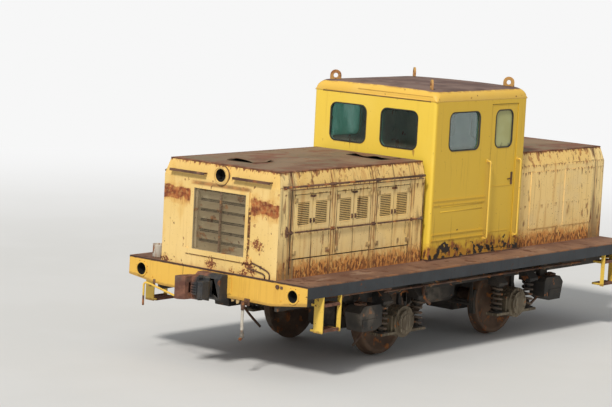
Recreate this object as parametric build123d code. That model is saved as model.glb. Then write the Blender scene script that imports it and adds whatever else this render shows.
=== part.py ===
from build123d import *
import math
import os

os.makedirs("parts", exist_ok=True)

# A two-axle shunting locomotive: front hood, cab, short rear hood.
# Millimetres. +X runs to the front coupler, +Y to the left side, +Z up.
# The origin is at the middle of the outline, level with the flange tips.

# Wheels and axles
TREAD_R = 500.0
FLANGE_H = 28.0
FLANGE_T = 33.0
WHEEL_BACK_TO_BACK = 1440.0
RIM_W = 135.0
RIM_T = 75.0
WEB_T = 30.0
HUB_R = 150.0
HUB_W = 190.0
AXLE_R = 85.0
JOURNAL_R = 65.0
WHEELBASE = 2700.0
RUNNING_GAP = 0.08
MOVING_GAP = 8.0

# Underframe
FRAME_L = 7700.0
FRAME_W = 3100.0
DECK_H = 1250.0
DECK_T = 16.0
SILL_D = 150.0
SILL_FLANGE = 70.0
SILL_WEB = 12.0
BEAM_T = 30.0
BEAM_END_D = 237.0
BEAM_MID_D = 313.0
BEAM_TAPER_Y = 960.0
RAIL_T = 40.0
RAIL_D = 380.0
TRANSOM_T = 20.0
TRANSOM_X = 690.0
END_TRANSOM_X = 2350.0

# Hoods and cab: lengths along the frame, heights above the deck
HOOD_SETBACK = 30.0
HOOD_L = 3070.0
HOOD_W = 2000.0
HOOD_KNEE = 1165.0
HOOD_TOP = 1385.0
HOOD_LEAN_SIDE = 60.0
HOOD_LEAN_NOSE = 45.0
HOOD_WALL = 40.0
ROOF_SHEET = 12.0
CAB_GAP = 70.0
CAB_L = 2200.0
CAB_W = 2160.0
CAB_WALL = 50.0
CAB_WALL_H = 2190.0
CAB_EDGE_R = 50.0
ROOF_RISE = 150.0
ROOF_CROWN = 45.0
ROOF_EDGE_R = 100.0
ROOF_END_R = 120.0
ROOF_STEPS = 3
ROOF_T = 35.0
FLOOR_T = 40.0

# Doors of the front hood
NOSE_STRIP = 300.0
DOOR_TAIL = 316.0
LEAF_T = 30.0
DOOR_POST = 132.0
DOOR_GAP = 8.0
DOOR_LOW = 250.0
DOOR_HIGH = 1085.0
PIN_OFFSET = 9.0
PIN_R = 8.0
KNUCKLE_L = 70.0
LOUVRE_N = 12
LOUVRE_PITCH = 24.0
LOUVRE_W = 230.0
LOUVRE_TOP = 975.0
LOUVRE_OUT = 14.0
BAR_H = 600.0
BAR_SECTION = 18.0
BAR_STANDOFF = 12.0

# Heights and planes that follow from them
AXLE_Z = TREAD_R + FLANGE_H
DECK_Z = FLANGE_H + DECK_H
UNDER_DECK = DECK_Z - DECK_T
BEAM_X = FRAME_L / 2
NOSE_X = BEAM_X - HOOD_SETBACK
HOOD_END_X = NOSE_X - HOOD_L
CAB_FRONT = HOOD_END_X - CAB_GAP
CAB_REAR = CAB_FRONT - CAB_L
RAIL_LOW = UNDER_DECK - RAIL_D
WALL_TOP = DECK_Z + CAB_WALL_H
AXLE_XS = (WHEELBASE / 2, -WHEELBASE / 2)
SIDES = (1, -1)

# The frame plates stand under the hood's sides
RAIL_Y = HOOD_W / 2

# Three pairs of leaves and two posts share what the nose strip and the tail leave
PAIR_W = (HOOD_L - NOSE_STRIP - DOOR_TAIL - 2 * DOOR_POST) / 3
LEAF_W = (PAIR_W - 3 * DOOR_GAP) / 2

# Round things are many-sided to keep the model light
BAR_SIDES = 6
SMALL_SIDES = 16
MIDDLE_SIDES = 24
WHEEL_SIDES = 48
CORNER_STEPS = 4


def box(x0, x1, y0, y1, z0, z1):
    """A block between two corners."""
    size = (abs(x1 - x0), abs(y1 - y0), abs(z1 - z0))
    middle = ((x0 + x1) / 2, (y0 + y1) / 2, (z0 + z1) / 2)
    return Pos(*middle) * Box(*size)


def rod(start, end, radius, sides=BAR_SIDES):
    """A bar from one point to another."""
    line = Vector(*end) - Vector(*start)
    section = Plane(origin=start, z_dir=line) * RegularPolygon(radius, sides)
    return extrude(section, line.length)


def round_rod(start, end, radius):
    """A true cylinder from one point to another."""
    line = Vector(*end) - Vector(*start)
    return extrude(Plane(origin=start, z_dir=line) * Circle(radius), line.length)


def sleeve(start, end, radius, sides):
    """A cutter for a hole whose flats clear a shaft of the radius."""
    line = Vector(*end) - Vector(*start)
    section = Plane(origin=start, z_dir=line) * RegularPolygon(radius, sides, major_radius=False)
    return extrude(section, line.length)


def cone(start, end, radius, end_radius, sides):
    """A bar that tapers from one radius to the other."""
    line = Vector(*end) - Vector(*start)
    section = Plane(origin=start, z_dir=line) * RegularPolygon(radius, sides)
    fall = (radius - end_radius) * math.cos(math.pi / sides)
    return extrude(section, line.length, taper=math.degrees(math.atan2(fall, line.length)))


def corner(u, v, radius, first):
    """Points of a rounded corner about its centre, from the first angle over a quarter turn."""
    angles = [math.radians(first + 90 * n / CORNER_STEPS) for n in range(CORNER_STEPS + 1)]
    return [(u + radius * math.cos(a), v + radius * math.sin(a)) for a in angles]


def bent_bar(points, radius):
    """A thin bar along straight runs with mitred corners."""
    path = Polyline(*points)
    start = Plane(origin=path @ 0, z_dir=path % 0)
    return sweep(start * RegularPolygon(radius, BAR_SIDES), path, transition=Transition.RIGHT)


def hose_tube(points, radii, radius):
    """A hose along straight runs joined by arcs."""
    path = FilletPolyline(*points, radius=radii)
    start = Plane(origin=path @ 0, z_dir=path % 0)
    return sweep(start * RegularPolygon(radius, BAR_SIDES), path)


def profile_x(points, x0, x1):
    """A flat outline given as (y, z), drawn out along X."""
    face = Plane.YZ * make_face(Polyline(*points, close=True))
    return Pos(x0, 0, 0) * extrude(face, x1 - x0)


def profile_y(points, y0, y1):
    """A flat outline given as (x, z), drawn out along Y."""
    face = make_face(Polyline(*[(x, 0, z) for x, z in points], close=True))
    return Pos(0, y0, 0) * extrude(face, y1 - y0, dir=(0, 1, 0))


def mirror_y(shape):
    return mirror(shape, about=Plane.XZ)


def turn_round(shape):
    """The same piece at the other end of the locomotive."""
    return shape.rotate(Axis.Z, 180)


def both_sides(shape):
    return [shape, mirror_y(shape)]


def both_ends(shape):
    return [shape, turn_round(shape)]


def save(name, *shapes):
    """Write one node; pieces that do not touch stay separate solids."""
    solids = []
    for shape in shapes:
        solids += list(shape.solids())
    whole = solids[0] if len(solids) == 1 else Compound(children=solids)
    export_step(whole, f"parts/{name}.step")


# Wheelsets: axle, two wheels with flanges, journals outside the wheels
AXLEBOX_R = 215.0
AXLEBOX_L = 190.0
COVER_R = 165.0
COVER_T = 45.0
JOURNAL_END_GAP = 10.0
AXLEBOX_Y = RAIL_Y + RAIL_T
JOURNAL_END = AXLEBOX_Y + AXLEBOX_L - JOURNAL_END_GAP


FLANGE_TIP = 16.0


def wheelset(axle_x):
    back = WHEEL_BACK_TO_BACK / 2
    face = back + RIM_W
    hub_in = back - (HUB_W - RIM_W) / 2
    hub_out = hub_in + HUB_W
    web_in = back + RIM_W / 2 - WEB_T / 2
    web_out = web_in + WEB_T
    flange_r = TREAD_R + FLANGE_H
    flange = back + FLANGE_TIP
    tread = back + FLANGE_T

    def disc(radius, y0, y1, sides):
        return rod((0, y0, 0), (0, y1, 0), radius, sides)

    rim = disc(flange_r, back, flange, WHEEL_SIDES) + disc(TREAD_R, tread, face, WHEEL_SIDES)
    rim += cone((0, flange, 0), (0, tread, 0), flange_r, TREAD_R, WHEEL_SIDES)
    for y0, y1 in ((back, web_in), (web_out, face)):
        rim -= disc(TREAD_R - RIM_T, y0, y1, MIDDLE_SIDES)
    one = rim + disc(HUB_R, hub_in, hub_out, SMALL_SIDES)
    one += disc(AXLE_R, 0, hub_in, SMALL_SIDES) + disc(JOURNAL_R, hub_out, JOURNAL_END, SMALL_SIDES)
    whole = one + mirror_y(one)
    return Pos(axle_x, 0, AXLE_Z) * whole


save("wheelset_front", wheelset(AXLE_XS[0]))
save("wheelset_rear", wheelset(AXLE_XS[1]))

# Axleboxes with spring seats
SPRING_X = 390.0
SPRING_R = 88.0
SPRING_CORE_R = 58.0
SPRING_RIBS = 5
SPRING_SIDES = 8
SPRING_DROP = 70.0
SPRING_Y = AXLEBOX_Y + AXLEBOX_L / 2
SPRING_TOP = RAIL_LOW - SPRING_DROP
SEAT_DROP = 120.0
SEAT_T = 35.0
SEAT_HALF = 105.0


def axlebox(axle_x, side):
    end = AXLEBOX_Y + AXLEBOX_L
    bore_end = JOURNAL_END + RUNNING_GAP
    barrel = rod((axle_x, AXLEBOX_Y, AXLE_Z), (axle_x, end, AXLE_Z), AXLEBOX_R, MIDDLE_SIDES)
    cover = rod((axle_x, end, AXLE_Z), (axle_x, end + COVER_T, AXLE_Z), COVER_R, MIDDLE_SIDES)
    reach = SPRING_X + SEAT_HALF
    low = AXLE_Z - SEAT_DROP - SEAT_T
    seat = box(axle_x - reach, axle_x + reach, AXLEBOX_Y, end, low, low + SEAT_T)
    bore_r = JOURNAL_R + RUNNING_GAP
    bore = sleeve((axle_x, AXLEBOX_Y, AXLE_Z), (axle_x, bore_end, AXLE_Z), bore_r, SMALL_SIDES)
    body = barrel + cover + seat - bore
    return body if side > 0 else mirror_y(body)


def spring_column():
    """A ribbed column standing on its seat, one rib for each turn of the coil."""
    pitch = (SPRING_TOP - AXLE_Z + SEAT_DROP) / SPRING_RIBS
    upper = cone((0, 0, pitch / 2), (0, 0, pitch), SPRING_R, SPRING_CORE_R, SPRING_SIDES)
    rib = upper + Pos(0, 0, pitch) * mirror(upper, about=Plane.XY)
    column = rib
    for n in range(1, SPRING_RIBS):
        column += Pos(0, 0, n * pitch) * rib
    return column


boxes = [axlebox(x, side) for x in AXLE_XS for side in SIDES]
save("axleboxes", *boxes)
column = spring_column()
spring_places = [(x + dx, side * SPRING_Y) for x in AXLE_XS for dx in (-SPRING_X, SPRING_X) for side in SIDES]
save("axle_springs", *[Pos(x, y, AXLE_Z - SEAT_DROP) * column for x, y in spring_places])

# Main frame: side plates, transoms, horn legs and gussets above the springs
HORN_IN = 100.0
HORN_W = 70.0
HORN_DROP = 150.0
HORN_LOW = AXLE_Z - HORN_DROP
GUSSET_EDGE = 35.0
GUSSET_RISE = 180.0
GUSSET_TOP = RAIL_LOW + GUSSET_RISE
RAIL_OUT = RAIL_Y + RAIL_T
TRANSOM_XS = (END_TRANSOM_X, TRANSOM_X, -TRANSOM_X, -END_TRANSOM_X)

plate_end = BEAM_X - BEAM_T
save("frame_plates", *both_sides(box(-plate_end, plate_end, RAIL_Y, RAIL_OUT, RAIL_LOW, UNDER_DECK)))

half_t = TRANSOM_T / 2
transoms = [box(x - half_t, x + half_t, -RAIL_Y, RAIL_Y, RAIL_LOW, UNDER_DECK) for x in TRANSOM_XS]
save("frame_transoms", *transoms)

horn_legs = []
gussets = []
for axle_x in AXLE_XS:
    for way in SIDES:
        x_in = axle_x + way * HORN_IN
        horn_legs += both_sides(box(x_in, x_in + way * HORN_W, RAIL_Y, RAIL_OUT, HORN_LOW, RAIL_LOW))
        x_mid = axle_x + way * SPRING_X
        gussets += both_sides(profile_x([
            (RAIL_OUT, SPRING_TOP),
            (SPRING_Y + SEAT_HALF, SPRING_TOP),
            (SPRING_Y + SEAT_HALF, SPRING_TOP + GUSSET_EDGE),
            (RAIL_OUT, GUSSET_TOP),
        ], x_mid - SEAT_HALF, x_mid + SEAT_HALF))
save("horn_legs", *horn_legs)
save("spring_gussets", *gussets)

# Deck, side sills and end beams
save("deck_plate", box(-BEAM_X, BEAM_X, -FRAME_W / 2, FRAME_W / 2, UNDER_DECK, DECK_Z))

sill_out = FRAME_W / 2
sill_in = sill_out - SILL_FLANGE
sill_low = UNDER_DECK - SILL_D
sill = profile_x([
    (sill_out, UNDER_DECK),
    (sill_out, sill_low),
    (sill_in, sill_low),
    (sill_in, sill_low + SILL_WEB),
    (sill_out - SILL_WEB, sill_low + SILL_WEB),
    (sill_out - SILL_WEB, UNDER_DECK),
], -BEAM_X + BEAM_T, BEAM_X - BEAM_T)
save("side_sills", *both_sides(sill))

LAMP_Y = 1320.0
LAMP_DROP = 156.0
LAMP_HOLE_R = 82.0
LAMP_RIM_R = 100.0
LAMP_RIM_T = 12.0
SOCKET_Y = 1050.0
SOCKET_DROP = 70.0
SOCKET_R = 28.0
COUPLER_H = 1055.0
COUPLER_Z = FLANGE_H + COUPLER_H
SHANK_W = 200.0
SHANK_H = 180.0
SHANK_PLAY = 20.0
SHANK_GAP = 15.0

beam = profile_x([
    (FRAME_W / 2, UNDER_DECK),
    (-FRAME_W / 2, UNDER_DECK),
    (-FRAME_W / 2, UNDER_DECK - BEAM_END_D),
    (-BEAM_TAPER_Y, UNDER_DECK - BEAM_MID_D),
    (BEAM_TAPER_Y, UNDER_DECK - BEAM_MID_D),
    (FRAME_W / 2, UNDER_DECK - BEAM_END_D),
], BEAM_X - BEAM_T, BEAM_X)
beam_back = BEAM_X - 2 * BEAM_T
beam_ahead = BEAM_X + 2 * BEAM_T
for side in SIDES:
    y = side * LAMP_Y
    z = DECK_Z - LAMP_DROP
    beam += rod((BEAM_X, y, z), (BEAM_X + LAMP_RIM_T, y, z), LAMP_RIM_R, MIDDLE_SIDES)
    beam -= round_rod((beam_back, y, z), (beam_ahead, y, z), LAMP_HOLE_R)
z = DECK_Z - SOCKET_DROP
beam -= round_rod((beam_back, SOCKET_Y, z), (beam_ahead, SOCKET_Y, z), SOCKET_R)
play_y = SHANK_W / 2 + SHANK_PLAY
play_z = SHANK_H / 2 + SHANK_PLAY
beam -= box(beam_back, beam_ahead, -play_y, play_y, COUPLER_Z - play_z, COUPLER_Z + play_z)
save("front_beam", beam)
save("rear_beam", turn_round(beam))

# Coupler pockets: the striker casting on the beam and the draft box behind it
STRIKER_OUT = 170.0
STRIKER_W = 440.0
STRIKER_H = 330.0
STRIKER_DROP = 12.0
STRIKER_SLOPE = 45.0
STRIKER_EDGE = 30.0
DRAFT_L = 650.0
DRAFT_W = 360.0
DRAFT_BACK = 40.0
SHANK_END = 60.0

draft_end = BEAM_X - BEAM_T - DRAFT_L
striker_face = BEAM_X + STRIKER_OUT
hole_y = SHANK_W / 2 + SHANK_GAP
shank_hole = box(draft_end + DRAFT_BACK, striker_face, -hole_y, hole_y,
                 COUPLER_Z - SHANK_H / 2, COUPLER_Z + SHANK_H / 2 + SHANK_GAP)
striker_top = UNDER_DECK - STRIKER_DROP
striker = profile_y([
    (BEAM_X, striker_top),
    (BEAM_X + STRIKER_OUT * 0.65, striker_top),
    (striker_face, striker_top - STRIKER_SLOPE),
    (striker_face, striker_top - STRIKER_H + STRIKER_EDGE),
    (striker_face - STRIKER_EDGE, striker_top - STRIKER_H),
    (BEAM_X, striker_top - STRIKER_H),
], -STRIKER_W / 2, STRIKER_W / 2)
draft = box(draft_end, BEAM_X - BEAM_T, -DRAFT_W / 2, DRAFT_W / 2, UNDER_DECK - BEAM_MID_D, UNDER_DECK)
save("coupler_pockets", *both_ends(striker - shank_hole), *both_ends(draft - shank_hole))

# Automatic coupler head: large tooth on the right, small tooth on the left
COUPLER_REACH = 560.0
HEAD_H = 300.0
TOOTH_H = 260.0
HEAD_L = 330.0
# Columns: forward of the head's face plane, to the left
HEAD_OUTLINE = [
    (-HEAD_L, -SHANK_W / 2),
    (-250, -175),
    (-120, -215),
    (-10, -212),
    (0, -150),
    (-55, -70),
    (-165, -55),
    (-180, 60),
    (-95, 105),
    (-60, 150),
    (-75, 212),
    (-190, 215),
    (-270, 165),
    (-HEAD_L, SHANK_W / 2),
]
# Columns: nearest and farthest behind the face, from and to leftwards, half the height
HEAD_RECESSES = [
    (30, 90, -240, -185, 95),
    (120, 175, -120, -40, 70),
]
# Columns: as above
LOCK_PIECE = (120, 185, -30, 70, 80)
# Columns: farthest behind the face, from and to leftwards
TOOTH_STEP = (235, 80, 260)


def coupler():
    face_x = BEAM_X + COUPLER_REACH
    outline = make_face(Polyline(*[(x, y) for x, y in HEAD_OUTLINE], close=True))
    head = Pos(face_x, 0, COUPLER_Z - HEAD_H / 2) * extrude(outline, HEAD_H)
    slack = HEAD_H - TOOTH_H
    back, y0, y1 = TOOTH_STEP
    for way in SIDES:
        edge = COUPLER_Z + way * HEAD_H / 2
        head -= box(face_x - back, face_x, y0, y1, edge, edge - way * slack)
    for near, far, y0, y1, half in HEAD_RECESSES:
        head -= box(face_x - far, face_x - near, y0, y1, COUPLER_Z - half, COUPLER_Z + half)
    near, far, y0, y1, half = LOCK_PIECE
    lock = box(face_x - far, face_x - near, y0, y1, COUPLER_Z - half, COUPLER_Z + half)
    shank = box(draft_end + SHANK_END, face_x - HEAD_L, -SHANK_W / 2, SHANK_W / 2,
                COUPLER_Z - SHANK_H / 2, COUPLER_Z + SHANK_H / 2)
    return head + lock + shank


front_coupler = coupler()
save("front_coupler", front_coupler)
save("rear_coupler", turn_round(front_coupler))

# Uncoupling lever: a bar under the beam with a hanging handle
LEVER_R = 14.0
LEVER_DROP = 345.0
LEVER_OUT = 75.0
LEVER_Y = -1080.0
HANGER_HALF = 25.0
HANGER_OUT = 95.0
HANGER_PLATE_T = 14.0
HANGER_PLATE_H = 82.0
# Columns: forward of the beam, to the left, above the lever's height
LEVER_ROUTE = [
    (LEVER_OUT, -1200.0, -282.0),
    (LEVER_OUT, -1200.0, -5.0),
    (LEVER_OUT, -1165.0, 31.0),
    (LEVER_OUT, -1080.0, 20.0),
    (222.0, -400.0, -60.0),
    (260.0, -245.0, 15.0),
]
# Columns: as above
LEVER_TIP = [(262.0, -246.0, 15.0), (262.0, -205.0, 75.0)]

lever_z = DECK_Z - LEVER_DROP
lever = bent_bar([(BEAM_X + out, y, lever_z + h) for out, y, h in LEVER_ROUTE], LEVER_R)
lever += rod(*[(BEAM_X + out, y, lever_z + h) for out, y, h in LEVER_TIP], LEVER_R)
hanger_low = lever_z - HANGER_HALF
lever += box(BEAM_X, BEAM_X + HANGER_OUT, LEVER_Y - HANGER_HALF, LEVER_Y + HANGER_HALF,
             hanger_low, lever_z + HANGER_HALF)
lever += box(BEAM_X, BEAM_X + HANGER_PLATE_T, LEVER_Y - HANGER_HALF, LEVER_Y + HANGER_HALF,
             hanger_low, lever_z + HANGER_PLATE_H)
save("uncoupling_levers", *both_ends(lever))

# Corner steps: two hangers and two treads below each corner of the deck
STEP_FRONT = 340.0
STEP_L = 370.0
STEP_POST_W = 150.0
STEP_POST_T = 14.0
STEP_REAR_W = 60.0
STEP_DROP = 640.0
STEP_TREAD_D = 200.0
STEP_TREAD_T = 30.0
STEP_OUT = FRAME_W / 2
# Column: depth of each tread below the deck
STEP_TREADS = (270.0, 600.0)


def corner_step(way, side):
    x0 = BEAM_X - STEP_FRONT
    x1 = x0 - STEP_L
    low = DECK_Z - STEP_DROP
    step = box(x0 - STEP_POST_T, x0, STEP_OUT - STEP_POST_W, STEP_OUT, low, sill_low)
    step += box(x1, x1 + STEP_POST_T, STEP_OUT - STEP_REAR_W, STEP_OUT, low, sill_low)
    for drop in STEP_TREADS:
        top = DECK_Z - drop
        step += box(x1, x0, STEP_OUT - STEP_TREAD_D, STEP_OUT - 15, top - STEP_TREAD_T, top)
    if side < 0:
        step = mirror_y(step)
    if way < 0:
        step = mirror(step, about=Plane.YZ)
    return step


save("corner_steps", *[corner_step(way, side) for way in SIDES for side in SIDES])

# Hood shell: flat sides to the knee, then leaning in on sides and nose


def hood_block(inset):
    """The front hood's outline as one block, drawn in by a wall's thickness."""
    half = HOOD_W / 2 - inset
    top = DECK_Z + HOOD_TOP - ROOF_SHEET
    knee = DECK_Z + HOOD_KNEE
    across = profile_x([
        (-half, DECK_Z),
        (half, DECK_Z),
        (half, knee),
        (half - HOOD_LEAN_SIDE, top),
        (-half + HOOD_LEAN_SIDE, top),
        (-half, knee),
    ], HOOD_END_X - inset, NOSE_X)
    nose = NOSE_X - inset
    along = profile_y([
        (HOOD_END_X - inset, DECK_Z),
        (nose, DECK_Z),
        (nose, knee),
        (nose - HOOD_LEAN_NOSE, top),
        (HOOD_END_X - inset, top),
    ], -HOOD_W, HOOD_W)
    return across & along


def nose_block(inset):
    """Everything ahead of the nose panel's back face."""
    knee = DECK_Z + HOOD_KNEE
    top = DECK_Z + HOOD_TOP - ROOF_SHEET
    nose = NOSE_X - inset
    return profile_y([
        (nose, DECK_Z),
        (nose, knee),
        (nose - HOOD_LEAN_NOSE, top),
        (NOSE_X + inset, top),
        (NOSE_X + inset, DECK_Z),
    ], -HOOD_W, HOOD_W)


hood_shell = hood_block(0) - hood_block(HOOD_WALL)
nose_slab = nose_block(HOOD_WALL)
hood_nose = hood_shell & nose_slab
hood_walls = hood_shell - nose_slab

# Nose openings: radiator grille and headlight
GRILLE_W = 900.0
GRILLE_LOW = 230.0
GRILLE_H = 805.0
GRILLE_RIM = 55.0
GRILLE_OUT = 22.0
GRILLE_SILL_H = 70.0
GRILLE_SILL_SIDE = 65.0
GRILLE_ROWS = 6
SLAT_T = 10.0
SLAT_D = 55.0
SLAT_RISE = 82.0
CHEEK_T = 6.0
DIVIDER_W = 30.0
HEADLIGHT_H = 1243.0
HEADLIGHT_R = 127.0
HEADLIGHT_HOLE_R = 86.0
HEADLIGHT_OUT = 30.0
HEADLIGHT_IN = 90.0

grille_z0 = DECK_Z + GRILLE_LOW
grille_z1 = grille_z0 + GRILLE_H
ring_z = DECK_Z + HEADLIGHT_H
ring_back = (NOSE_X - HEADLIGHT_IN, 0, ring_z)
ring_face = (NOSE_X + HEADLIGHT_OUT, 0, ring_z)
ring_disc = rod(ring_back, ring_face, HEADLIGHT_R, MIDDLE_SIDES)
hood_nose -= box(NOSE_X - 2 * HOOD_WALL, NOSE_X, -GRILLE_W / 2, GRILLE_W / 2, grille_z0, grille_z1)
save("hood_nose", hood_nose - ring_disc)

# Side openings, one for each pair of door leaves
PAIR_STARTS = [NOSE_X - NOSE_STRIP - n * (PAIR_W + DOOR_POST) for n in range(3)]
for start in PAIR_STARTS:
    hood_walls -= box(start - PAIR_W, start, -HOOD_W, HOOD_W, DECK_Z + DOOR_LOW, DECK_Z + DOOR_HIGH)
save("hood_sides", hood_walls)

roof_z = DECK_Z + HOOD_TOP - ROOF_SHEET
roof_half = HOOD_W / 2 - HOOD_LEAN_SIDE
roof_front = NOSE_X - HOOD_LEAN_NOSE
front_roof = box(HOOD_END_X, roof_front, -roof_half, roof_half, roof_z, roof_z + ROOF_SHEET)
rear_roof = box(-roof_front, CAB_REAR - CAB_GAP, -roof_half, roof_half, roof_z, roof_z + ROOF_SHEET)
save("hood_roofs", front_roof, rear_roof)

# Grille: a rim with a wide sill around sloping slats with a divider
grille_face = NOSE_X + GRILLE_OUT
rim_out = GRILLE_W / 2 + GRILLE_RIM
sill_half = rim_out + GRILLE_SILL_SIDE
grille = box(NOSE_X, grille_face, -rim_out, rim_out, grille_z0 - GRILLE_SILL_H, grille_z1 + GRILLE_RIM)
grille += box(NOSE_X, grille_face, -sill_half, sill_half, grille_z0 - GRILLE_SILL_H, grille_z0)
grille -= box(NOSE_X, grille_face, -GRILLE_W / 2, GRILLE_W / 2, grille_z0, grille_z1)
slat_pitch = GRILLE_H / GRILLE_ROWS
slat_back = NOSE_X - HOOD_WALL - SLAT_D
for row in range(GRILLE_ROWS):
    z = grille_z0 + row * slat_pitch
    slat = profile_y([
        (slat_back + SLAT_D, z),
        (slat_back + SLAT_D, z + SLAT_T),
        (slat_back, z + SLAT_T + SLAT_RISE),
        (slat_back, z + SLAT_RISE),
    ], -GRILLE_W / 2, GRILLE_W / 2)
    grille += slat
for side in SIDES:
    edge = side * GRILLE_W / 2
    grille += box(slat_back, grille_face, edge - side * CHEEK_T, edge, grille_z0, grille_z1)
grille += box(slat_back, NOSE_X - HOOD_WALL / 2, -DIVIDER_W / 2, DIVIDER_W / 2, grille_z0, grille_z1)
save("nose_grille", grille)

save("headlight_rings", *both_ends(ring_disc - round_rod(ring_back, ring_face, HEADLIGHT_HOLE_R)))

# Door leaves: outer panel with louvres, hinge knuckles and a strap
HOOD_FACE = HOOD_W / 2
LEAF_EDGE = 5.0
HINGE_L = 60.0
HINGE_T = 4.0
STANDOFF_HALF = 12.0


def door_leaf(x_hinge, way, side):
    """way is the direction from the hinge to the free edge."""
    low = DECK_Z + DOOR_LOW + DOOR_GAP
    high = DECK_Z + DOOR_HIGH - DOOR_GAP
    x_free = x_hinge + way * LEAF_W
    leaf = box(x_hinge, x_free, HOOD_FACE - LEAF_T, HOOD_FACE, low, high)
    middle = (x_hinge + x_free) / 2
    teeth = [(HOOD_FACE, DECK_Z + LOUVRE_TOP - LOUVRE_N * LOUVRE_PITCH)]
    for n in reversed(range(LOUVRE_N)):
        z = DECK_Z + LOUVRE_TOP - n * LOUVRE_PITCH
        teeth += [(HOOD_FACE + LOUVRE_OUT, z - LOUVRE_PITCH * 0.6), (HOOD_FACE, z)]
    leaf += profile_x(teeth, middle - LOUVRE_W / 2, middle + LOUVRE_W / 2)
    pin_y = HOOD_FACE + PIN_OFFSET
    for z in (low + KNUCKLE_L, high - KNUCKLE_L):
        z0 = z - KNUCKLE_L / 2
        z1 = z + KNUCKLE_L / 2
        leaf += rod((x_hinge, pin_y, z0), (x_hinge, pin_y, z1), PIN_R)
        leaf += box(x_hinge, x_hinge + way * HINGE_L, HOOD_FACE, HOOD_FACE + HINGE_T, z0, z1)
    bar_z = DECK_Z + BAR_H
    half = BAR_SECTION / 2
    bar_in = HOOD_FACE + BAR_STANDOFF
    leaf += box(x_hinge + way * LEAF_EDGE, x_free - way * LEAF_EDGE, bar_in, bar_in + BAR_SECTION,
                bar_z - half, bar_z + half)
    for share in (0.25, 0.75):
        x = x_hinge + way * LEAF_W * share
        leaf += box(x - STANDOFF_HALF, x + STANDOFF_HALF, HOOD_FACE, bar_in, bar_z - half, bar_z + half)
    return leaf if side > 0 else mirror_y(leaf)


for pair, start in enumerate(PAIR_STARTS):
    x_front = start - DOOR_GAP
    x_back = start - PAIR_W + DOOR_GAP
    for side, side_name in ((1, "left"), (-1, "right")):
        save(f"hood_door_{side_name}_{2 * pair + 1}", door_leaf(x_front, -1, side))
        save(f"hood_door_{side_name}_{2 * pair + 2}", door_leaf(x_back, 1, side))

# Handrails at the knee of the hood, strap pieces on the posts, grab bars on nose and cab
SIDE_RAIL_R = 14.0
SIDE_RAIL_END = 60.0
SIDE_RAIL_FOOT = 40.0
SIDE_RAIL_FEET = 4
RAIL_SINK = 12.0
SIDE_RAIL_OUT = 45.0
SIDE_RAIL_H = 1195.0
GRAB_R = 16.0
GRAB_H = 1235.0
GRAB_OUT = 45.0
GRAB_FOOT = 30.0
GRAB_SINK = 25.0
# Columns: first and last distance from the middle of the nose
GRAB_BARS = [(-870.0, -250.0), (230.0, 870.0)]
POST_BAR_HALF = 38.0
STRAP_FRONT = 120.0
STRAP_CLEAR = 20.0
STRAP_REAR = 30.0


def on_feet(bar, feet):
    """A bar and its feet, which end on its surface."""
    return [bar] + [foot - bar for foot in feet]


def side_rail():
    y = HOOD_FACE + SIDE_RAIL_OUT
    z = DECK_Z + SIDE_RAIL_H
    x0 = NOSE_X - SIDE_RAIL_END
    x1 = HOOD_END_X + SIDE_RAIL_END
    bar = rod((x0, y, z), (x1, y, z), SIDE_RAIL_R)
    step = (x0 - x1 - 2 * SIDE_RAIL_FOOT) / (SIDE_RAIL_FEET - 1)
    places = [x0 - SIDE_RAIL_FOOT - n * step for n in range(SIDE_RAIL_FEET)]
    return on_feet(bar, [rod((x, HOOD_FACE - RAIL_SINK, z), (x, y, z), SIDE_RAIL_R * 0.8) for x in places])


def post_bars():
    """Short pieces of the mid strap, one on each fixed post."""
    last_end = PAIR_STARTS[-1] - PAIR_W
    spans = [(NOSE_X - STRAP_FRONT, PAIR_STARTS[0] + STRAP_CLEAR)]
    for start in PAIR_STARTS[1:]:
        middle = start + DOOR_POST / 2
        spans.append((middle + POST_BAR_HALF, middle - POST_BAR_HALF))
    spans.append((last_end - STRAP_CLEAR, HOOD_END_X + STRAP_REAR))
    low = DECK_Z + BAR_H - BAR_SECTION / 2
    out = HOOD_FACE + BAR_STANDOFF + BAR_SECTION
    return [box(x0, x1, HOOD_FACE, out, low, low + BAR_SECTION) for x0, x1 in spans]


def grab_bar(y0, y1):
    z = DECK_Z + GRAB_H
    x = NOSE_X + GRAB_OUT
    bar = rod((x, y0, z), (x, y1, z), GRAB_R)
    places = (y0 + GRAB_FOOT, y1 - GRAB_FOOT)
    return on_feet(bar, [rod((NOSE_X - GRAB_SINK, y, z), (x, y, z), GRAB_R * 0.8) for y in places])


hood_solid = hood_block(0)
rails = []
for piece in side_rail():
    rails += both_sides(piece - hood_solid)
for piece in post_bars():
    rails += both_sides(piece)
for y0, y1 in GRAB_BARS:
    rails += [piece - hood_solid for piece in grab_bar(y0, y1)]

# Two rigid conduits from the grille's lower corner down to the deck
CONDUIT_R = 9.0
CONDUIT_X = NOSE_X + CONDUIT_R
# Columns: to the left of the middle, height above the deck
CONDUIT_HIGH = [(585.0, 178.0), (690.0, 155.0), (895.0, 90.0), (895.0, 0.0)]
CONDUIT_LOW = [(515.0, 100.0), (640.0, 85.0), (815.0, 55.0), (815.0, 0.0)]
conduits = []
for route in (CONDUIT_HIGH, CONDUIT_LOW):
    conduits.append(bent_bar([(CONDUIT_X, y, DECK_Z + h) for y, h in route], CONDUIT_R))
save("nose_conduits", *conduits)

# The small pot standing on the deck at the front right corner
POT_R = 85.0
POT_H = 175.0
POT_BEHIND = 200.0
POT_Y = -1210.0
POT_WALL = 8.0
pot_x = BEAM_X - POT_BEHIND
pot = rod((pot_x, POT_Y, DECK_Z), (pot_x, POT_Y, DECK_Z + POT_H), POT_R, MIDDLE_SIDES)
pot -= rod((pot_x, POT_Y, DECK_Z + POT_WALL), (pot_x, POT_Y, DECK_Z + POT_H), POT_R - POT_WALL, MIDDLE_SIDES)
save("deck_pot", pot)

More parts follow.
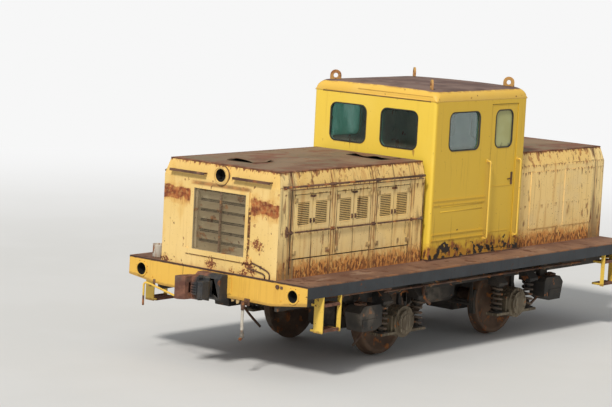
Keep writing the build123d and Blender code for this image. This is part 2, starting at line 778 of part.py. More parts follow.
# Engine and radiator as plain blocks at their places
RADIATOR_BEHIND = 190.0
RADIATOR_T = 160.0
RADIATOR_HALF = 520.0
RADIATOR_H = 1120.0
ENGINE_GAP = 260.0
ENGINE_TAIL = 300.0
ENGINE_HALF = 430.0
ENGINE_H = 980.0
radiator_x1 = NOSE_X - RADIATOR_BEHIND
radiator_x0 = radiator_x1 - RADIATOR_T
radiator = box(radiator_x0, radiator_x1, -RADIATOR_HALF, RADIATOR_HALF, DECK_Z, DECK_Z + RADIATOR_H)
engine_x0 = HOOD_END_X + ENGINE_TAIL
engine_x1 = radiator_x0 - ENGINE_GAP
engine = box(engine_x0, engine_x1, -ENGINE_HALF, ENGINE_HALF, DECK_Z, DECK_Z + ENGINE_H)
save("engine_block", engine, radiator)

# Rear hood: the same section, shorter, with bolted louvred panels
rear_shell = turn_round(hood_shell)
keep = box(-BEAM_X, CAB_REAR - CAB_GAP, -HOOD_W, HOOD_W, DECK_Z, DECK_Z + HOOD_TOP)
rear_hood = rear_shell & keep
rear_hood -= turn_round(ring_disc)
PANEL_T = 8.0
PANEL_TAIL = 270.0
rear_l = CAB_REAR - CAB_GAP + NOSE_X
panel_w = (rear_l - NOSE_STRIP - DOOR_POST - PANEL_TAIL) / 2
for n in range(2):
    x0 = -NOSE_X + NOSE_STRIP + n * (panel_w + DOOR_POST)
    for side in SIDES:
        y0 = side * HOOD_FACE
        rear_hood += box(x0, x0 + panel_w, y0, y0 + side * PANEL_T, DECK_Z + DOOR_LOW, DECK_Z + DOOR_HIGH)
save("rear_hood", rear_hood)

# Cab: four walls with their windows and doorways
CAB_HALF = CAB_W / 2
WINDOW_W = 640.0
WINDOW_H = 535.0
WINDOW_LOW = 1505.0
WINDOW_PIER = 260.0
WINDOW_R = 100.0
GLASS_T = 8.0
SIDE_WINDOW_AT = 330.0
SIDE_WINDOW_W = 720.0
DOORWAY_AT = 1330.0
DOORWAY_W = 660.0
DOORWAY_H = 2070.0
DOOR_LEAF_T = 40.0
DOOR_WINDOW_W = 420.0
DOOR_SILL = 60.0

window_z = DECK_Z + WINDOW_LOW + WINDOW_H / 2
end_window_y = WINDOW_PIER / 2 + WINDOW_W / 2
inner_x0 = CAB_REAR + CAB_WALL
inner_x1 = CAB_FRONT - CAB_WALL
inner_y = CAB_HALF - CAB_WALL


def window_outline(middle, width):
    """A window's outline with rounded corners, level with all the others."""
    u = width / 2 - WINDOW_R
    v = WINDOW_H / 2 - WINDOW_R
    points = []
    for way_u, way_v, first in ((1, 1, 0), (-1, 1, 90), (-1, -1, 180), (1, -1, 270)):
        points += corner(middle + way_u * u, window_z + way_v * v, WINDOW_R, first)
    return points


def end_window(x, depth):
    """Rounded blocks at both windows of an end wall, depth along X."""
    one = profile_x(window_outline(end_window_y, WINDOW_W), x - depth / 2, x + depth / 2)
    return one + mirror_y(one)


def side_window(x, width, y, depth):
    """A rounded block at one window of a side wall, depth along Y."""
    return profile_y(window_outline(x, width), y - depth / 2, y + depth / 2)


def end_wall():
    wall = box(0, CAB_WALL, -CAB_HALF, CAB_HALF, DECK_Z, WALL_TOP)
    corners = wall.edges().filter_by(Axis.Z).sort_by(Axis.X)[-2:]
    return fillet(corners, CAB_EDGE_R * 0.98)


front_wall = Pos(CAB_FRONT - CAB_WALL, 0, 0) * end_wall()
rear_wall = Pos(CAB_REAR + CAB_WALL, 0, 0) * turn_round(end_wall())
save("cab_front_wall", front_wall - end_window(CAB_FRONT, 4 * CAB_WALL))
save("cab_rear_wall", rear_wall - end_window(CAB_REAR, 4 * CAB_WALL))

side_window_x = CAB_FRONT - SIDE_WINDOW_AT - SIDE_WINDOW_W / 2
doorway_front = CAB_FRONT - DOORWAY_AT
doorway_rear = doorway_front - DOORWAY_W
doorway_low = DECK_Z + DOOR_SILL
doorway_high = doorway_low + DOORWAY_H
door_window_x = (doorway_front + doorway_rear) / 2
RIB_H = 14.0
RIB_OUT = 9.0
RIB_END = 60.0
# Column: height of each pressed rib above the deck
RIBS = (270.0, 350.0, 760.0, 820.0)

side_wall = box(CAB_REAR + CAB_WALL, CAB_FRONT - CAB_WALL, CAB_HALF - CAB_WALL, CAB_HALF, DECK_Z, WALL_TOP)
for h in RIBS:
    side_wall += box(doorway_front + RIB_END, CAB_FRONT - CAB_WALL, CAB_HALF, CAB_HALF + RIB_OUT,
                     DECK_Z + h, DECK_Z + h + RIB_H)
side_wall -= box(doorway_rear, doorway_front, inner_y, CAB_HALF, doorway_low, doorway_high)
side_wall -= side_window(side_window_x, SIDE_WINDOW_W, CAB_HALF, 4 * CAB_WALL)
save("cab_left_wall", side_wall)
save("cab_right_wall", mirror_y(side_wall))

# Cab doors swing inwards on their front edge
DOOR_PIN_IN = 8.0
door_pin_y = CAB_HALF - CAB_WALL - DOOR_PIN_IN
door_x0 = doorway_rear + MOVING_GAP
door_x1 = doorway_front - MOVING_GAP
door_y0 = CAB_HALF - CAB_WALL
cab_door = box(door_x0, door_x1, door_y0, door_y0 + DOOR_LEAF_T,
               doorway_low + MOVING_GAP, doorway_high - MOVING_GAP)
cab_door -= side_window(door_window_x, DOOR_WINDOW_W, door_y0, 4 * CAB_WALL)
cab_door += side_window(door_window_x, DOOR_WINDOW_W, door_y0 + DOOR_LEAF_T / 2, GLASS_T)
for share in (0.15, 0.85):
    z = doorway_low + DOORWAY_H * share
    cab_door += rod((door_x1, door_pin_y, z - KNUCKLE_L), (door_x1, door_pin_y, z + KNUCKLE_L), PIN_R)
    cab_door += box(door_x1 - HINGE_L, door_x1, door_y0 - HINGE_T, door_y0, z - KNUCKLE_L, z + KNUCKLE_L)
save("cab_door_left", cab_door)
save("cab_door_right", mirror_y(cab_door))

# Upright grab bars on both sides of each doorway
CAB_BAR_LOW = 200.0
CAB_BAR_HIGH = 1350.0
CAB_BAR_OUT = 60.0
CAB_BAR_ASIDE = 45.0
CAB_BAR_FOOT = 25.0
for x in (doorway_front + CAB_BAR_ASIDE, doorway_rear - CAB_BAR_ASIDE):
    y = CAB_HALF + CAB_BAR_OUT
    z0 = DECK_Z + CAB_BAR_LOW
    z1 = DECK_Z + CAB_BAR_HIGH
    bar = rod((x, y, z0), (x, y, z1), SIDE_RAIL_R)
    places = (z0 + CAB_BAR_FOOT, z1 - CAB_BAR_FOOT)
    for piece in on_feet(bar, [rod((x, CAB_HALF, z), (x, y, z), SIDE_RAIL_R * 0.8) for z in places]):
        rails += both_sides(piece)
save("handrails", *rails)

glass_in = CAB_WALL * 0.35
panes = [
    end_window(CAB_FRONT - glass_in, GLASS_T),
    end_window(CAB_REAR + glass_in, GLASS_T),
    side_window(side_window_x, SIDE_WINDOW_W, CAB_HALF - glass_in, GLASS_T),
    side_window(side_window_x, SIDE_WINDOW_W, -CAB_HALF + glass_in, GLASS_T),
]
save("cab_glass", *panes)

save("cab_floor", box(inner_x0, inner_x1, -inner_y, inner_y, DECK_Z, DECK_Z + FLOOR_T))


roof_edge_z = WALL_TOP + ROOF_RISE


def roof_block():
    """The cab roof's outer form, crowned across and rounded at its edges."""
    half = CAB_HALF - ROOF_EDGE_R
    rise = ROOF_CROWN / ROOF_STEPS ** 2
    crown = [(-half * n / ROOF_STEPS, roof_edge_z + ROOF_CROWN - rise * n ** 2)
             for n in range(1 - ROOF_STEPS, ROOF_STEPS)]
    across = [(-CAB_HALF, WALL_TOP), (CAB_HALF, WALL_TOP)]
    across += corner(half, roof_edge_z - ROOF_EDGE_R, ROOF_EDGE_R, 0)
    across += crown + corner(-half, roof_edge_z - ROOF_EDGE_R, ROOF_EDGE_R, 90)
    peak = roof_edge_z + ROOF_CROWN
    along = [(CAB_REAR, WALL_TOP), (CAB_FRONT, WALL_TOP)]
    along += corner(CAB_FRONT - ROOF_END_R, peak - ROOF_END_R, ROOF_END_R, 0)
    along += corner(CAB_REAR + ROOF_END_R, peak - ROOF_END_R, ROOF_END_R, 90)
    return profile_x(across, CAB_REAR, CAB_FRONT) & profile_y(along, -CAB_W, CAB_W)


# The hollow below the roof has cut corners that stay inside the rounded ones
ROOF_CORNER = 60.0
inner_half = CAB_HALF - ROOF_T
inner_top = roof_edge_z - ROOF_T
roof_hollow = profile_x([
    (-inner_half, WALL_TOP),
    (inner_half, WALL_TOP),
    (inner_half, inner_top - ROOF_CORNER),
    (inner_half - ROOF_CORNER, inner_top),
    (-inner_half + ROOF_CORNER, inner_top),
    (-inner_half, inner_top - ROOF_CORNER),
], CAB_REAR + ROOF_T, CAB_FRONT - ROOF_T)
roof_form = roof_block()
save("cab_roof", roof_form - roof_hollow)

# Lifting eyes at the roof's corners, each in line with the roof's middle
EYE_R = 80.0
EYE_HOLE_R = 33.0
EYE_T = 26.0
EYE_IN_X = 170.0
EYE_IN_Y = 230.0
EYE_RISE = 48.0
EYE_SINK = 20.0
roof_top_at_eye = WALL_TOP + ROOF_RISE + ROOF_CROWN * (1 - ((CAB_HALF - EYE_IN_Y) / CAB_HALF) ** 2)
cab_mid = (CAB_FRONT + CAB_REAR) / 2
eyes = []
for way in SIDES:
    for side in SIDES:
        x = cab_mid + way * (CAB_L / 2 - EYE_IN_X)
        y = side * (CAB_HALF - EYE_IN_Y)
        foot = -EYE_RISE - EYE_SINK
        eye = rod((0, -EYE_T / 2, 0), (0, EYE_T / 2, 0), EYE_R, MIDDLE_SIDES)
        eye += box(-EYE_R, EYE_R, -EYE_T / 2, EYE_T / 2, foot, 0)
        eye -= round_rod((0, -EYE_T, 0), (0, EYE_T, 0), EYE_HOLE_R)
        eye &= box(-EYE_R, EYE_R, -EYE_T, EYE_T, foot, EYE_R)
        turn = 45 if way * side > 0 else -45
        eyes.append(Pos(x, y, roof_top_at_eye + EYE_RISE) * Rot(0, 0, turn) * eye)
save("lifting_eyes", *[eye - roof_form for eye in eyes])

# Inside the cab: control desk and two seats
DESK_D = 380.0
DESK_HALF = 820.0
DESK_H = 960.0
DESK_NOSE_DROP = 160.0
DESK_BACK_RISE = 60.0
floor_z = DECK_Z + FLOOR_T
desk_z = DECK_Z + DESK_H
desk = profile_y([
    (inner_x1, floor_z),
    (inner_x1 - DESK_D * 0.7, floor_z),
    (inner_x1 - DESK_D, desk_z - DESK_NOSE_DROP),
    (inner_x1 - DESK_D * 0.8, desk_z),
    (inner_x1, desk_z + DESK_BACK_RISE),
], -DESK_HALF, DESK_HALF)
save("control_desk", desk)

KNEE_ROOM = 620.0
SEAT_Y = 520.0
SEAT_W = 440.0
SEAT_TOP = 560.0
PAN_T = 25.0
BACK_PLATE_T = 20.0
PAD_T = 80.0
BACK_H = 430.0
POST_R = 45.0
FOOT_HALF = 150.0
FOOT_T = 16.0
seat_x = inner_x1 - DESK_D - KNEE_ROOM
seat_z = floor_z + SEAT_TOP
seat_y0 = SEAT_Y - SEAT_W / 2
seat_y1 = SEAT_Y + SEAT_W / 2
back_x = seat_x - SEAT_W / 2
front_x = seat_x + SEAT_W / 2
back_top = seat_z + PAD_T + BACK_H
seat = rod((seat_x, SEAT_Y, floor_z), (seat_x, SEAT_Y, seat_z), POST_R)
seat += box(seat_x - FOOT_HALF, seat_x + FOOT_HALF, SEAT_Y - FOOT_HALF, SEAT_Y + FOOT_HALF,
            floor_z, floor_z + FOOT_T)
seat += box(back_x, front_x, seat_y0, seat_y1, seat_z - PAN_T, seat_z)
seat += box(back_x - BACK_PLATE_T, back_x, seat_y0, seat_y1, seat_z - PAN_T, back_top)
save("seat_frames", *both_sides(seat))
pad = box(back_x + PAD_T, front_x, seat_y0, seat_y1, seat_z, seat_z + PAD_T)
pad += box(back_x, back_x + PAD_T, seat_y0, seat_y1, seat_z, back_top)
save("seat_pads", *both_sides(pad))

# Axle gearboxes hung between the wheels from the inner transoms
GEAR_HALF_X = 260.0
GEAR_HALF_Y = 230.0
GEAR_HALF_Z = 240.0
GEAR_EDGE = 70.0
ARM_HALF_Y = 60.0
ARM_LOW = 120.0
ARM_RISE = 90.0


def gearbox(axle_x):
    way = 1 if axle_x > 0 else -1
    case = Pos(axle_x, 0, AXLE_Z) * Box(2 * GEAR_HALF_X, 2 * GEAR_HALF_Y, 2 * GEAR_HALF_Z)
    case = chamfer(case.edges().filter_by(Axis.Y), GEAR_EDGE)
    arm_x0 = way * (TRANSOM_X + TRANSOM_T / 2)
    arm = box(arm_x0, axle_x, -ARM_HALF_Y, ARM_HALF_Y, AXLE_Z + ARM_LOW, RAIL_LOW + ARM_RISE)
    reach = 2 * GEAR_HALF_Y
    hole = sleeve((axle_x, -reach, AXLE_Z), (axle_x, reach, AXLE_Z), AXLE_R + MOVING_GAP, SMALL_SIDES)
    return case + arm - hole


save("axle_gearboxes", *[gearbox(x) for x in AXLE_XS])

# Brakes: one block on each wheel, hung from the transom, joined by a beam
SHOE_T = 50.0
SHOE_HALF_H = 170.0
SHOE_GAP = 10.0
SHOE_W = 80.0
SHOE_FLANGE_GAP = 12.0
SHOE_SINK = 5.0
HANGER_T = 20.0
HANGER_W = 40.0
HANGER_FOOT = 60.0
HANGER_RISE = 110.0
BRAKE_BEAM_R = 22.0
BRAKE_BEAM_DROP = 30.0


def brakes(axle_x):
    way = 1 if axle_x > 0 else -1
    inboard = WHEEL_BACK_TO_BACK / 2 + FLANGE_T + SHOE_FLANGE_GAP
    outboard = WHEEL_BACK_TO_BACK / 2 + RIM_W
    middle = (inboard + outboard) / 2
    y0 = middle - HANGER_W / 2
    y1 = middle + HANGER_W / 2
    inner_r = TREAD_R + SHOE_GAP
    outer_r = inner_r + SHOE_T
    lie = Rot(90, 0, 0)
    shoe = Pos(axle_x, middle, AXLE_Z) * lie * (Cylinder(outer_r, SHOE_W) - Cylinder(inner_r, 2 * SHOE_W))
    shoe &= box(axle_x, axle_x - way * 2 * outer_r, 0, 2 * middle, AXLE_Z - SHOE_HALF_H, AXLE_Z + SHOE_HALF_H)
    hanger_x = axle_x - way * (outer_r - SHOE_SINK)
    hanger_top = RAIL_LOW + HANGER_RISE
    transom_face = way * (TRANSOM_X + TRANSOM_T / 2)
    shoe += box(hanger_x, hanger_x - way * HANGER_T, y0, y1, AXLE_Z - HANGER_FOOT, hanger_top)
    shoe += box(transom_face, hanger_x, y0, y1, hanger_top - HANGER_FOOT, hanger_top)
    beam_x = hanger_x - way * HANGER_T / 2
    beam_z = AXLE_Z - BRAKE_BEAM_DROP
    return shoe + mirror_y(shoe) + rod((beam_x, -middle, beam_z), (beam_x, middle, beam_z), BRAKE_BEAM_R)


save("brake_rigging", *[brakes(x) for x in AXLE_XS])

# Fuel tank between the axles and air tanks outside the right frame plate
TANK_HALF_X = 520.0
TANK_HALF_Y = 700.0
TANK_LOW = 560.0
TANK_EDGE = 80.0
AIR_R = 150.0
AIR_L = 1000.0
AIR_GAP = 30.0
AIR_DROP = 60.0
AIR_ARM_W = 50.0
AIR_ARM_H = 80.0
fuel = box(-TANK_HALF_X, TANK_HALF_X, -TANK_HALF_Y, TANK_HALF_Y, TANK_LOW, UNDER_DECK)
fuel = chamfer(fuel.edges().filter_by(Axis.X).sort_by(Axis.Z)[:2], TANK_EDGE)
air_y = -(RAIL_OUT + AIR_R + AIR_GAP)
air_z = UNDER_DECK - AIR_R - AIR_DROP
air = rod((-AIR_L / 2, air_y, air_z), (AIR_L / 2, air_y, air_z), AIR_R, MIDDLE_SIDES)
arm_z0 = air_z - AIR_ARM_H / 2
arm_z1 = air_z + AIR_ARM_H / 2
for x in (-AIR_L * 0.3, AIR_L * 0.3):
    air += box(x - AIR_ARM_W / 2, x + AIR_ARM_W / 2, air_y, -RAIL_OUT, arm_z0, arm_z1)
save("underframe_tanks", fuel, air)

# Sand boxes ahead of the front wheels and behind the rear ones
SAND_X = 1940.0
SAND_D = 260.0
SAND_LOW = 500.0
# Columns: along the box, above its lowest edge
SAND_OUTLINE = [(0, 60), (130, 0), (420, 0), (480, 250), (390, 340), (40, 340), (0, 280)]
# Columns: from and to along the box, how far out, foot above the box's lowest edge
SAND_ARM = (120, 300, 90, 320)
SAND_ARM_RISE = 120.0


def sand_box():
    hopper = profile_y([(SAND_X + x, SAND_LOW + z) for x, z in SAND_OUTLINE], RAIL_OUT, RAIL_OUT + SAND_D)
    x0, x1, out, foot = SAND_ARM
    arm = box(SAND_X + x0, SAND_X + x1, RAIL_OUT, RAIL_OUT + out, SAND_LOW + foot, RAIL_LOW + SAND_ARM_RISE)
    return hopper + arm


sand = sand_box()
save("sand_boxes", *both_sides(sand), *both_sides(turn_round(sand)))

# Brake hoses hang free beside the couplers
HOSE_R = 19.0
COCK_R = 30.0
COCK_L = 70.0
COCK_PIPE_R = 24.0
COCK_PIPE_UP = 50.0
COCK_PLATE_T = 12.0
COCK_PLATE_HALF = 45.0
# Columns: forward of the beam, to the left, below the deck
HOSE_ROUTE = [
    (85.0, 565.0, 385.0),
    (85.0, 565.0, 495.0),
    (103.0, 555.0, 610.0),
    (125.0, 551.0, 720.0),
]


def route_radii(points):
    """Each arc is as large as its two runs allow."""
    radii = []
    for before, at, after in zip(points, points[1:], points[2:]):
        run_in = Vector(*at) - Vector(*before)
        run_out = Vector(*after) - Vector(*at)
        turn = math.radians(run_in.get_angle(run_out))
        radii.append(0.45 * min(run_in.length, run_out.length) / math.tan(turn / 2))
    return radii


hose_points = [(BEAM_X + out, left, DECK_Z - drop) for out, left, drop in HOSE_ROUTE]
hose = hose_tube(hose_points, route_radii(hose_points), HOSE_R)
save("front_brake_hose", hose)
save("rear_brake_hose", turn_round(hose))

hose_top = Vector(*hose_points[0])
cock = rod(hose_top, hose_top + Vector(0, 0, COCK_L), COCK_R)
pipe_z = hose_top.Z + COCK_PIPE_UP
cock += rod((BEAM_X + COCK_PLATE_T, hose_top.Y, pipe_z), (hose_top.X, hose_top.Y, pipe_z), COCK_PIPE_R)
cock += box(BEAM_X, BEAM_X + COCK_PLATE_T, hose_top.Y - COCK_PLATE_HALF, hose_top.Y + COCK_PLATE_HALF,
            pipe_z - COCK_PLATE_HALF, pipe_z + COCK_PLATE_HALF)
save("hose_cocks", *both_ends(cock))

HEAD_PIPE_R = 30.0
HEAD_PIPE_L = 65.0
CLAW_R = 22.0
# Forward, to the left and up from the end of the head's pipe
CLAW_RUN = (45.0, 0.0, -20.0)
tip = Vector(*hose_points[-1])
tip_way = (tip - Vector(*hose_points[-2])).normalized()
claw_at = tip + tip_way * HEAD_PIPE_L
head = rod(tip, claw_at, HEAD_PIPE_R)
head += rod(claw_at, claw_at + Vector(*CLAW_RUN), CLAW_R)
save("hose_heads", *both_ends(head))
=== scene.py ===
import math

import bmesh
import bpy
from mathutils import Matrix, Vector


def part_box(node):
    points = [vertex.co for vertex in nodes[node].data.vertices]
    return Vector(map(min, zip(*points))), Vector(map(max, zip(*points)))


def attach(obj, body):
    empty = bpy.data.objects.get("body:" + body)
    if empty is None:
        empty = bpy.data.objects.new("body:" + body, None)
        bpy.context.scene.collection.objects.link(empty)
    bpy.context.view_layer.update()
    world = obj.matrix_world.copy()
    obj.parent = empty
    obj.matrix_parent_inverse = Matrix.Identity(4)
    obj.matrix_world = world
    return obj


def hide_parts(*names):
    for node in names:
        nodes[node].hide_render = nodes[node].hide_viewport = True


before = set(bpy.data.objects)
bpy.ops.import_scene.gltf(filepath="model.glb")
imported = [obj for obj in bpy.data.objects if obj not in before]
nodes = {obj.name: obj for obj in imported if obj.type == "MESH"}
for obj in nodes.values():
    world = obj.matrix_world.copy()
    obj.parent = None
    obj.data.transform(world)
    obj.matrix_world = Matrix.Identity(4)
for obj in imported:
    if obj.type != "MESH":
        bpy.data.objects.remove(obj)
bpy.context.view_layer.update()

# Places and sizes, in metres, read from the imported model
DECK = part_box("deck_plate")[1].z
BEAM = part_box("deck_plate")[1].x
BEAM_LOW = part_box("front_beam")[0].z
SIDE_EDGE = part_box("deck_plate")[1].y
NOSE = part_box("hood_nose")[1].x
HOOD_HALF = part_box("hood_nose")[1].y
HOOD_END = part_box("hood_sides")[0].x
HOOD_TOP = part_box("hood_roofs")[1].z
ROOF_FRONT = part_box("hood_roofs")[1].x
ROOF_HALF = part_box("hood_roofs")[1].y
REAR_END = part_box("hood_roofs")[0].x
CAB_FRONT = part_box("cab_front_wall")[1].x
CAB_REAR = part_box("cab_rear_wall")[0].x
CAB_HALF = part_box("cab_front_wall")[1].y
WALL_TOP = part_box("cab_front_wall")[1].z
CAB_MID = (CAB_FRONT + CAB_REAR) / 2
CAB_REACH = CAB_FRONT - CAB_MID
RAIL_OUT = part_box("frame_plates")[1].y
SILL_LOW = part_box("side_sills")[0].z
AXLES = (1.35, -1.35)
AXLE_Z = 0.528

# Ends of the door pairs, and middles of the fixed posts between them, along X
DOOR_STARTS = [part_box(f"hood_door_left_{n}")[1].x for n in (1, 3, 5)]
DOOR_ENDS = [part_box(f"hood_door_left_{n}")[0].x for n in (2, 4, 6)]
POSTS = [DOOR_STARTS[0] + 0.06, (DOOR_ENDS[0] + DOOR_STARTS[1]) / 2,
         (DOOR_ENDS[1] + DOOR_STARTS[2]) / 2, DOOR_ENDS[2] - 0.06]
LEAF_MEETINGS = [(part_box(f"hood_door_left_{n}")[0].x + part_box(f"hood_door_left_{n + 1}")[1].x) / 2
                 for n in (1, 3, 5)]

# Middle and half length of each step's treads, along X
TREAD_MID = BEAM - 0.525
TREAD_HALF = 0.185

# The hood's sides and nose lean inwards above this height, by these shares of the rise
LEAN_Z = DECK + 1.165
LEAN_SIDE = 0.288
LEAN_NOSE = 0.216

# The left side is +Y and the front is +X
SIDES = ENDS = (1, -1)
NAMED_SIDES = ((1, "left"), (-1, "right"))
NAMED_ENDS = ((1, "front"), (-1, "rear"))
CHASSIS = "chassis"

# The camera stands where the photograph was taken
LENS = 134.7
SENSOR = 36.0
CAMERA_AZ = math.radians(39.281)
CAMERA_EL = math.radians(7.149)
CAMERA_ROLL = math.radians(2.947)
CAMERA_DISTANCE = 31.783
CAMERA_TARGET = Vector((1.5, -0.4672, 1.9488))


def direction(azimuth, height):
    """A unit vector towards an azimuth from +X and a height above the floor, in radians."""
    level = math.cos(height)
    return Vector((level * math.cos(azimuth), level * math.sin(azimuth), math.sin(height)))


def add_camera():
    back = direction(CAMERA_AZ, CAMERA_EL)
    level = Vector((0, 0, 1)).cross(back).normalized()
    upright = back.cross(level)
    right = math.cos(CAMERA_ROLL) * level + math.sin(CAMERA_ROLL) * upright
    up = math.cos(CAMERA_ROLL) * upright - math.sin(CAMERA_ROLL) * level
    data = bpy.data.cameras.new("camera")
    data.sensor_width = SENSOR
    data.lens = LENS
    data.clip_end = 200
    camera = bpy.data.objects.new("camera", data)
    turn = Matrix((right, up, back)).transposed().to_4x4()
    camera.matrix_world = Matrix.Translation(CAMERA_TARGET + CAMERA_DISTANCE * back) @ turn
    bpy.context.scene.collection.objects.link(camera)
    bpy.context.scene.camera = camera


class Term:
    """One output socket, so that maths on it reads as maths."""

    def __init__(self, graph, socket):
        self.graph = graph
        self.socket = socket

    def __add__(self, other):
        return self.graph.maths("ADD", self, other)

    def __radd__(self, other):
        return self.graph.maths("ADD", other, self)

    def __sub__(self, other):
        return self.graph.maths("SUBTRACT", self, other)

    def __rsub__(self, other):
        return self.graph.maths("SUBTRACT", other, self)

    def __mul__(self, other):
        return self.graph.maths("MULTIPLY", self, other)

    def __rmul__(self, other):
        return self.graph.maths("MULTIPLY", other, self)

    def __truediv__(self, other):
        return self.graph.maths("DIVIDE", self, other)

    def __abs__(self):
        return self.graph.maths("ABSOLUTE", self)


class Graph:
    """Adds nodes to a shader or geometry tree."""

    def __init__(self, tree):
        self.tree = tree

    def node(self, kind, settings=None, sockets=None, out=0):
        made = self.tree.nodes.new(kind)
        for name, value in (settings or {}).items():
            setattr(made, name, value)
        for key, value in (sockets or {}).items():
            self.feed(made.inputs[key], value)
        return Term(self, made.outputs[out]) if made.outputs else made

    def feed(self, socket, value):
        for one in value if isinstance(value, list) else [value]:
            if isinstance(one, Term):
                self.tree.links.new(one.socket, socket)
            elif socket.type == "RGBA" and len(one) == 3:
                socket.default_value = (*one, 1)
            else:
                socket.default_value = one

    def maths(self, operation, *values):
        return self.node("ShaderNodeMath", {"operation": operation}, dict(enumerate(values)))

    def larger(self, first, second):
        return self.maths("MAXIMUM", first, second)

    def over(self, value, low, high):
        """0 at low and 1 at high, smooth between; low may be the larger."""
        return self.node("ShaderNodeMapRange", {"interpolation_type": "SMOOTHSTEP"},
                         {"Value": value, "From Min": low, "From Max": high})

    def apart(self, vector):
        """The three parts of a vector."""
        split = self.node("ShaderNodeSeparateXYZ", sockets={0: vector}).socket.node
        return [Term(self, socket) for socket in split.outputs]

    def blend(self, first, second, factor):
        """Mixes two colours."""
        return self.node("ShaderNodeMix", {"data_type": "RGBA"}, {0: factor, 6: first, 7: second}, out=2)


class Finish(Graph):
    """A material laid on in layers, from the ground coat outwards."""

    def __init__(self, name, colour, roughness):
        self.material = bpy.data.materials.new(name)
        self.material.use_nodes = True
        super().__init__(self.material.node_tree)
        self.tree.nodes.clear()
        self.place = self.node("ShaderNodeTexCoord", out="Object")
        self.x, self.y, self.z = self.apart(self.place)
        self.colour = colour
        self.roughness = roughness
        self.height = 0.0

    def noise(self, scale, detail, seed):
        """A cloudy pattern from 0 to 1; scale is one number or one for each axis, per metre."""
        place = self.place
        if isinstance(scale, tuple):
            place = self.node("ShaderNodeVectorMath", {"operation": "MULTIPLY"}, {0: place, 1: scale})
            scale = 1.0
        return self.node("ShaderNodeTexNoise", {"noise_dimensions": "4D"},
                         {"Vector": place, "W": seed, "Scale": scale, "Detail": detail, "Roughness": 0.55})

    def patches(self, scale, edge, soft, seed, detail=5.0):
        """Where the cloudy pattern rises over an edge value."""
        return self.over(self.noise(scale, detail, seed), edge, edge + soft)

    def streaks(self, edge, soft, seed, width, run):
        """Upright runs, narrow across and long down."""
        return self.patches((width, width, run), edge, soft, seed, 4.0)

    def band(self, value, middle, half, soft):
        """1 within half of the middle, falling to 0 beyond."""
        return self.over(abs(value - middle), half + soft, half)

    def drips(self, top, length, seed, cover, width, ragged=0.0):
        """Runs that start at a height, or at ragged heights round it, and thin out below it."""
        start = self.z
        if ragged:
            start = start + (self.noise((width * 0.4, width * 0.4, 3.0), 5.0, seed + 0.5) - 0.5) * ragged
        fall = (top - start) * (1.0 / length)
        lines = self.noise((width, width, 1.6), 4.0, seed) - fall * 0.42
        return self.over(lines, 1.0 - cover, 1.06 - cover) * self.over(start, top + 0.006, top)

    def rust(self, dark=(0.10, 0.032, 0.012), bright=(0.36, 0.13, 0.04), seed=7.0):
        """The colour of rust, darker and brighter in places."""
        return self.blend(dark, bright, self.over(self.noise(11.0, 6.0, seed), 0.36, 0.64))

    def layer(self, mask, colour, roughness=None, lift=0.0):
        """Lays a colour where the mask is 1, raised or sunk by lift."""
        self.colour = self.blend(self.colour, colour, mask)
        if roughness is not None:
            self.roughness = self.roughness * (1 - mask) + roughness * mask
        if lift:
            self.height = self.height + mask * lift

    def grain(self, scale, lift, detail=3.0, seed=3.0):
        """Roughens the surface by a cloudy pattern."""
        self.height = self.height + self.noise(scale, detail, seed) * lift

    def done(self):
        """Wires the layers to the shader."""
        bumps = self.node("ShaderNodeBump", sockets={"Height": self.height, "Distance": 1.0})
        shader = self.node("ShaderNodeBsdfPrincipled", sockets={
            "Base Color": self.colour, "Roughness": self.roughness, "Normal": bumps})
        self.node("ShaderNodeOutputMaterial", sockets={"Surface": shader})
        return self.material


# Colours shared by several finishes
RUST_DARK = (0.085, 0.03, 0.013)
RUST_BROWN = (0.20, 0.072, 0.028)
RUST_ORANGE = (0.40, 0.15, 0.04)
GRIME = (0.075, 0.052, 0.035)
BARE_BLACK = (0.012, 0.011, 0.010)


def post_wear(f, side, ahead, runs):
    """Rust along the posts, the hood's rear edge and the corner strip on each side."""
    for number, post in enumerate(POSTS):
        ragged = f.over(f.noise((26.0, 3.0, 3.0), 6, 30 + number), 0.38, 0.56)
        f.layer(f.band(f.x, post, 0.026, 0.03) * side * ragged * 0.5, (0.62, 0.34, 0.10), 0.8)
        edges = f.band(abs(f.x - post), 0.030, 0.005, 0.012)
        f.layer(edges * side * ragged * 0.9, f.rust(RUST_BROWN, (0.46, 0.19, 0.055)), 0.88)
    tail = f.over(f.x, HOOD_END + 0.22, HOOD_END + 0.05) * f.over(f.x, 0, 0.1) * side
    f.layer(tail * f.over(f.noise((14, 14, 2.0), 5, 26), 0.46, 0.60) * 0.85, f.rust(), 0.9)
    f.layer(f.band(ahead, NOSE - 0.236, 0.004, 0.005) * side, BARE_BLACK, 0.9, -0.003)
    f.layer(f.band(ahead, NOSE - 0.222, 0.012, 0.035) * side * runs, f.rust(), 0.9)
    strip = side * f.over(ahead, NOSE - 0.335, NOSE - 0.325)
    fading = f.over(f.z + f.noise((12.0, 12.0, 3.0), 5, 29) * 0.5, DECK + 0.95, DECK + 0.35)
    f.layer(strip * fading * 0.55, (0.52, 0.29, 0.085), 0.8)
    grey_run = strip * f.over(f.noise((20, 20, 1.0), 5, 27) - (f.z - DECK) * 0.10, 0.40, 0.50)
    f.layer(grey_run * 0.7, (0.30, 0.20, 0.095), 0.8)
    fallen = f.patches((12, 12, 3.0), 0.57, 0.05, 28) * f.over(f.z, DECK + 0.8, DECK + 0.4)
    f.layer(strip * fallen, f.rust(), 0.9)


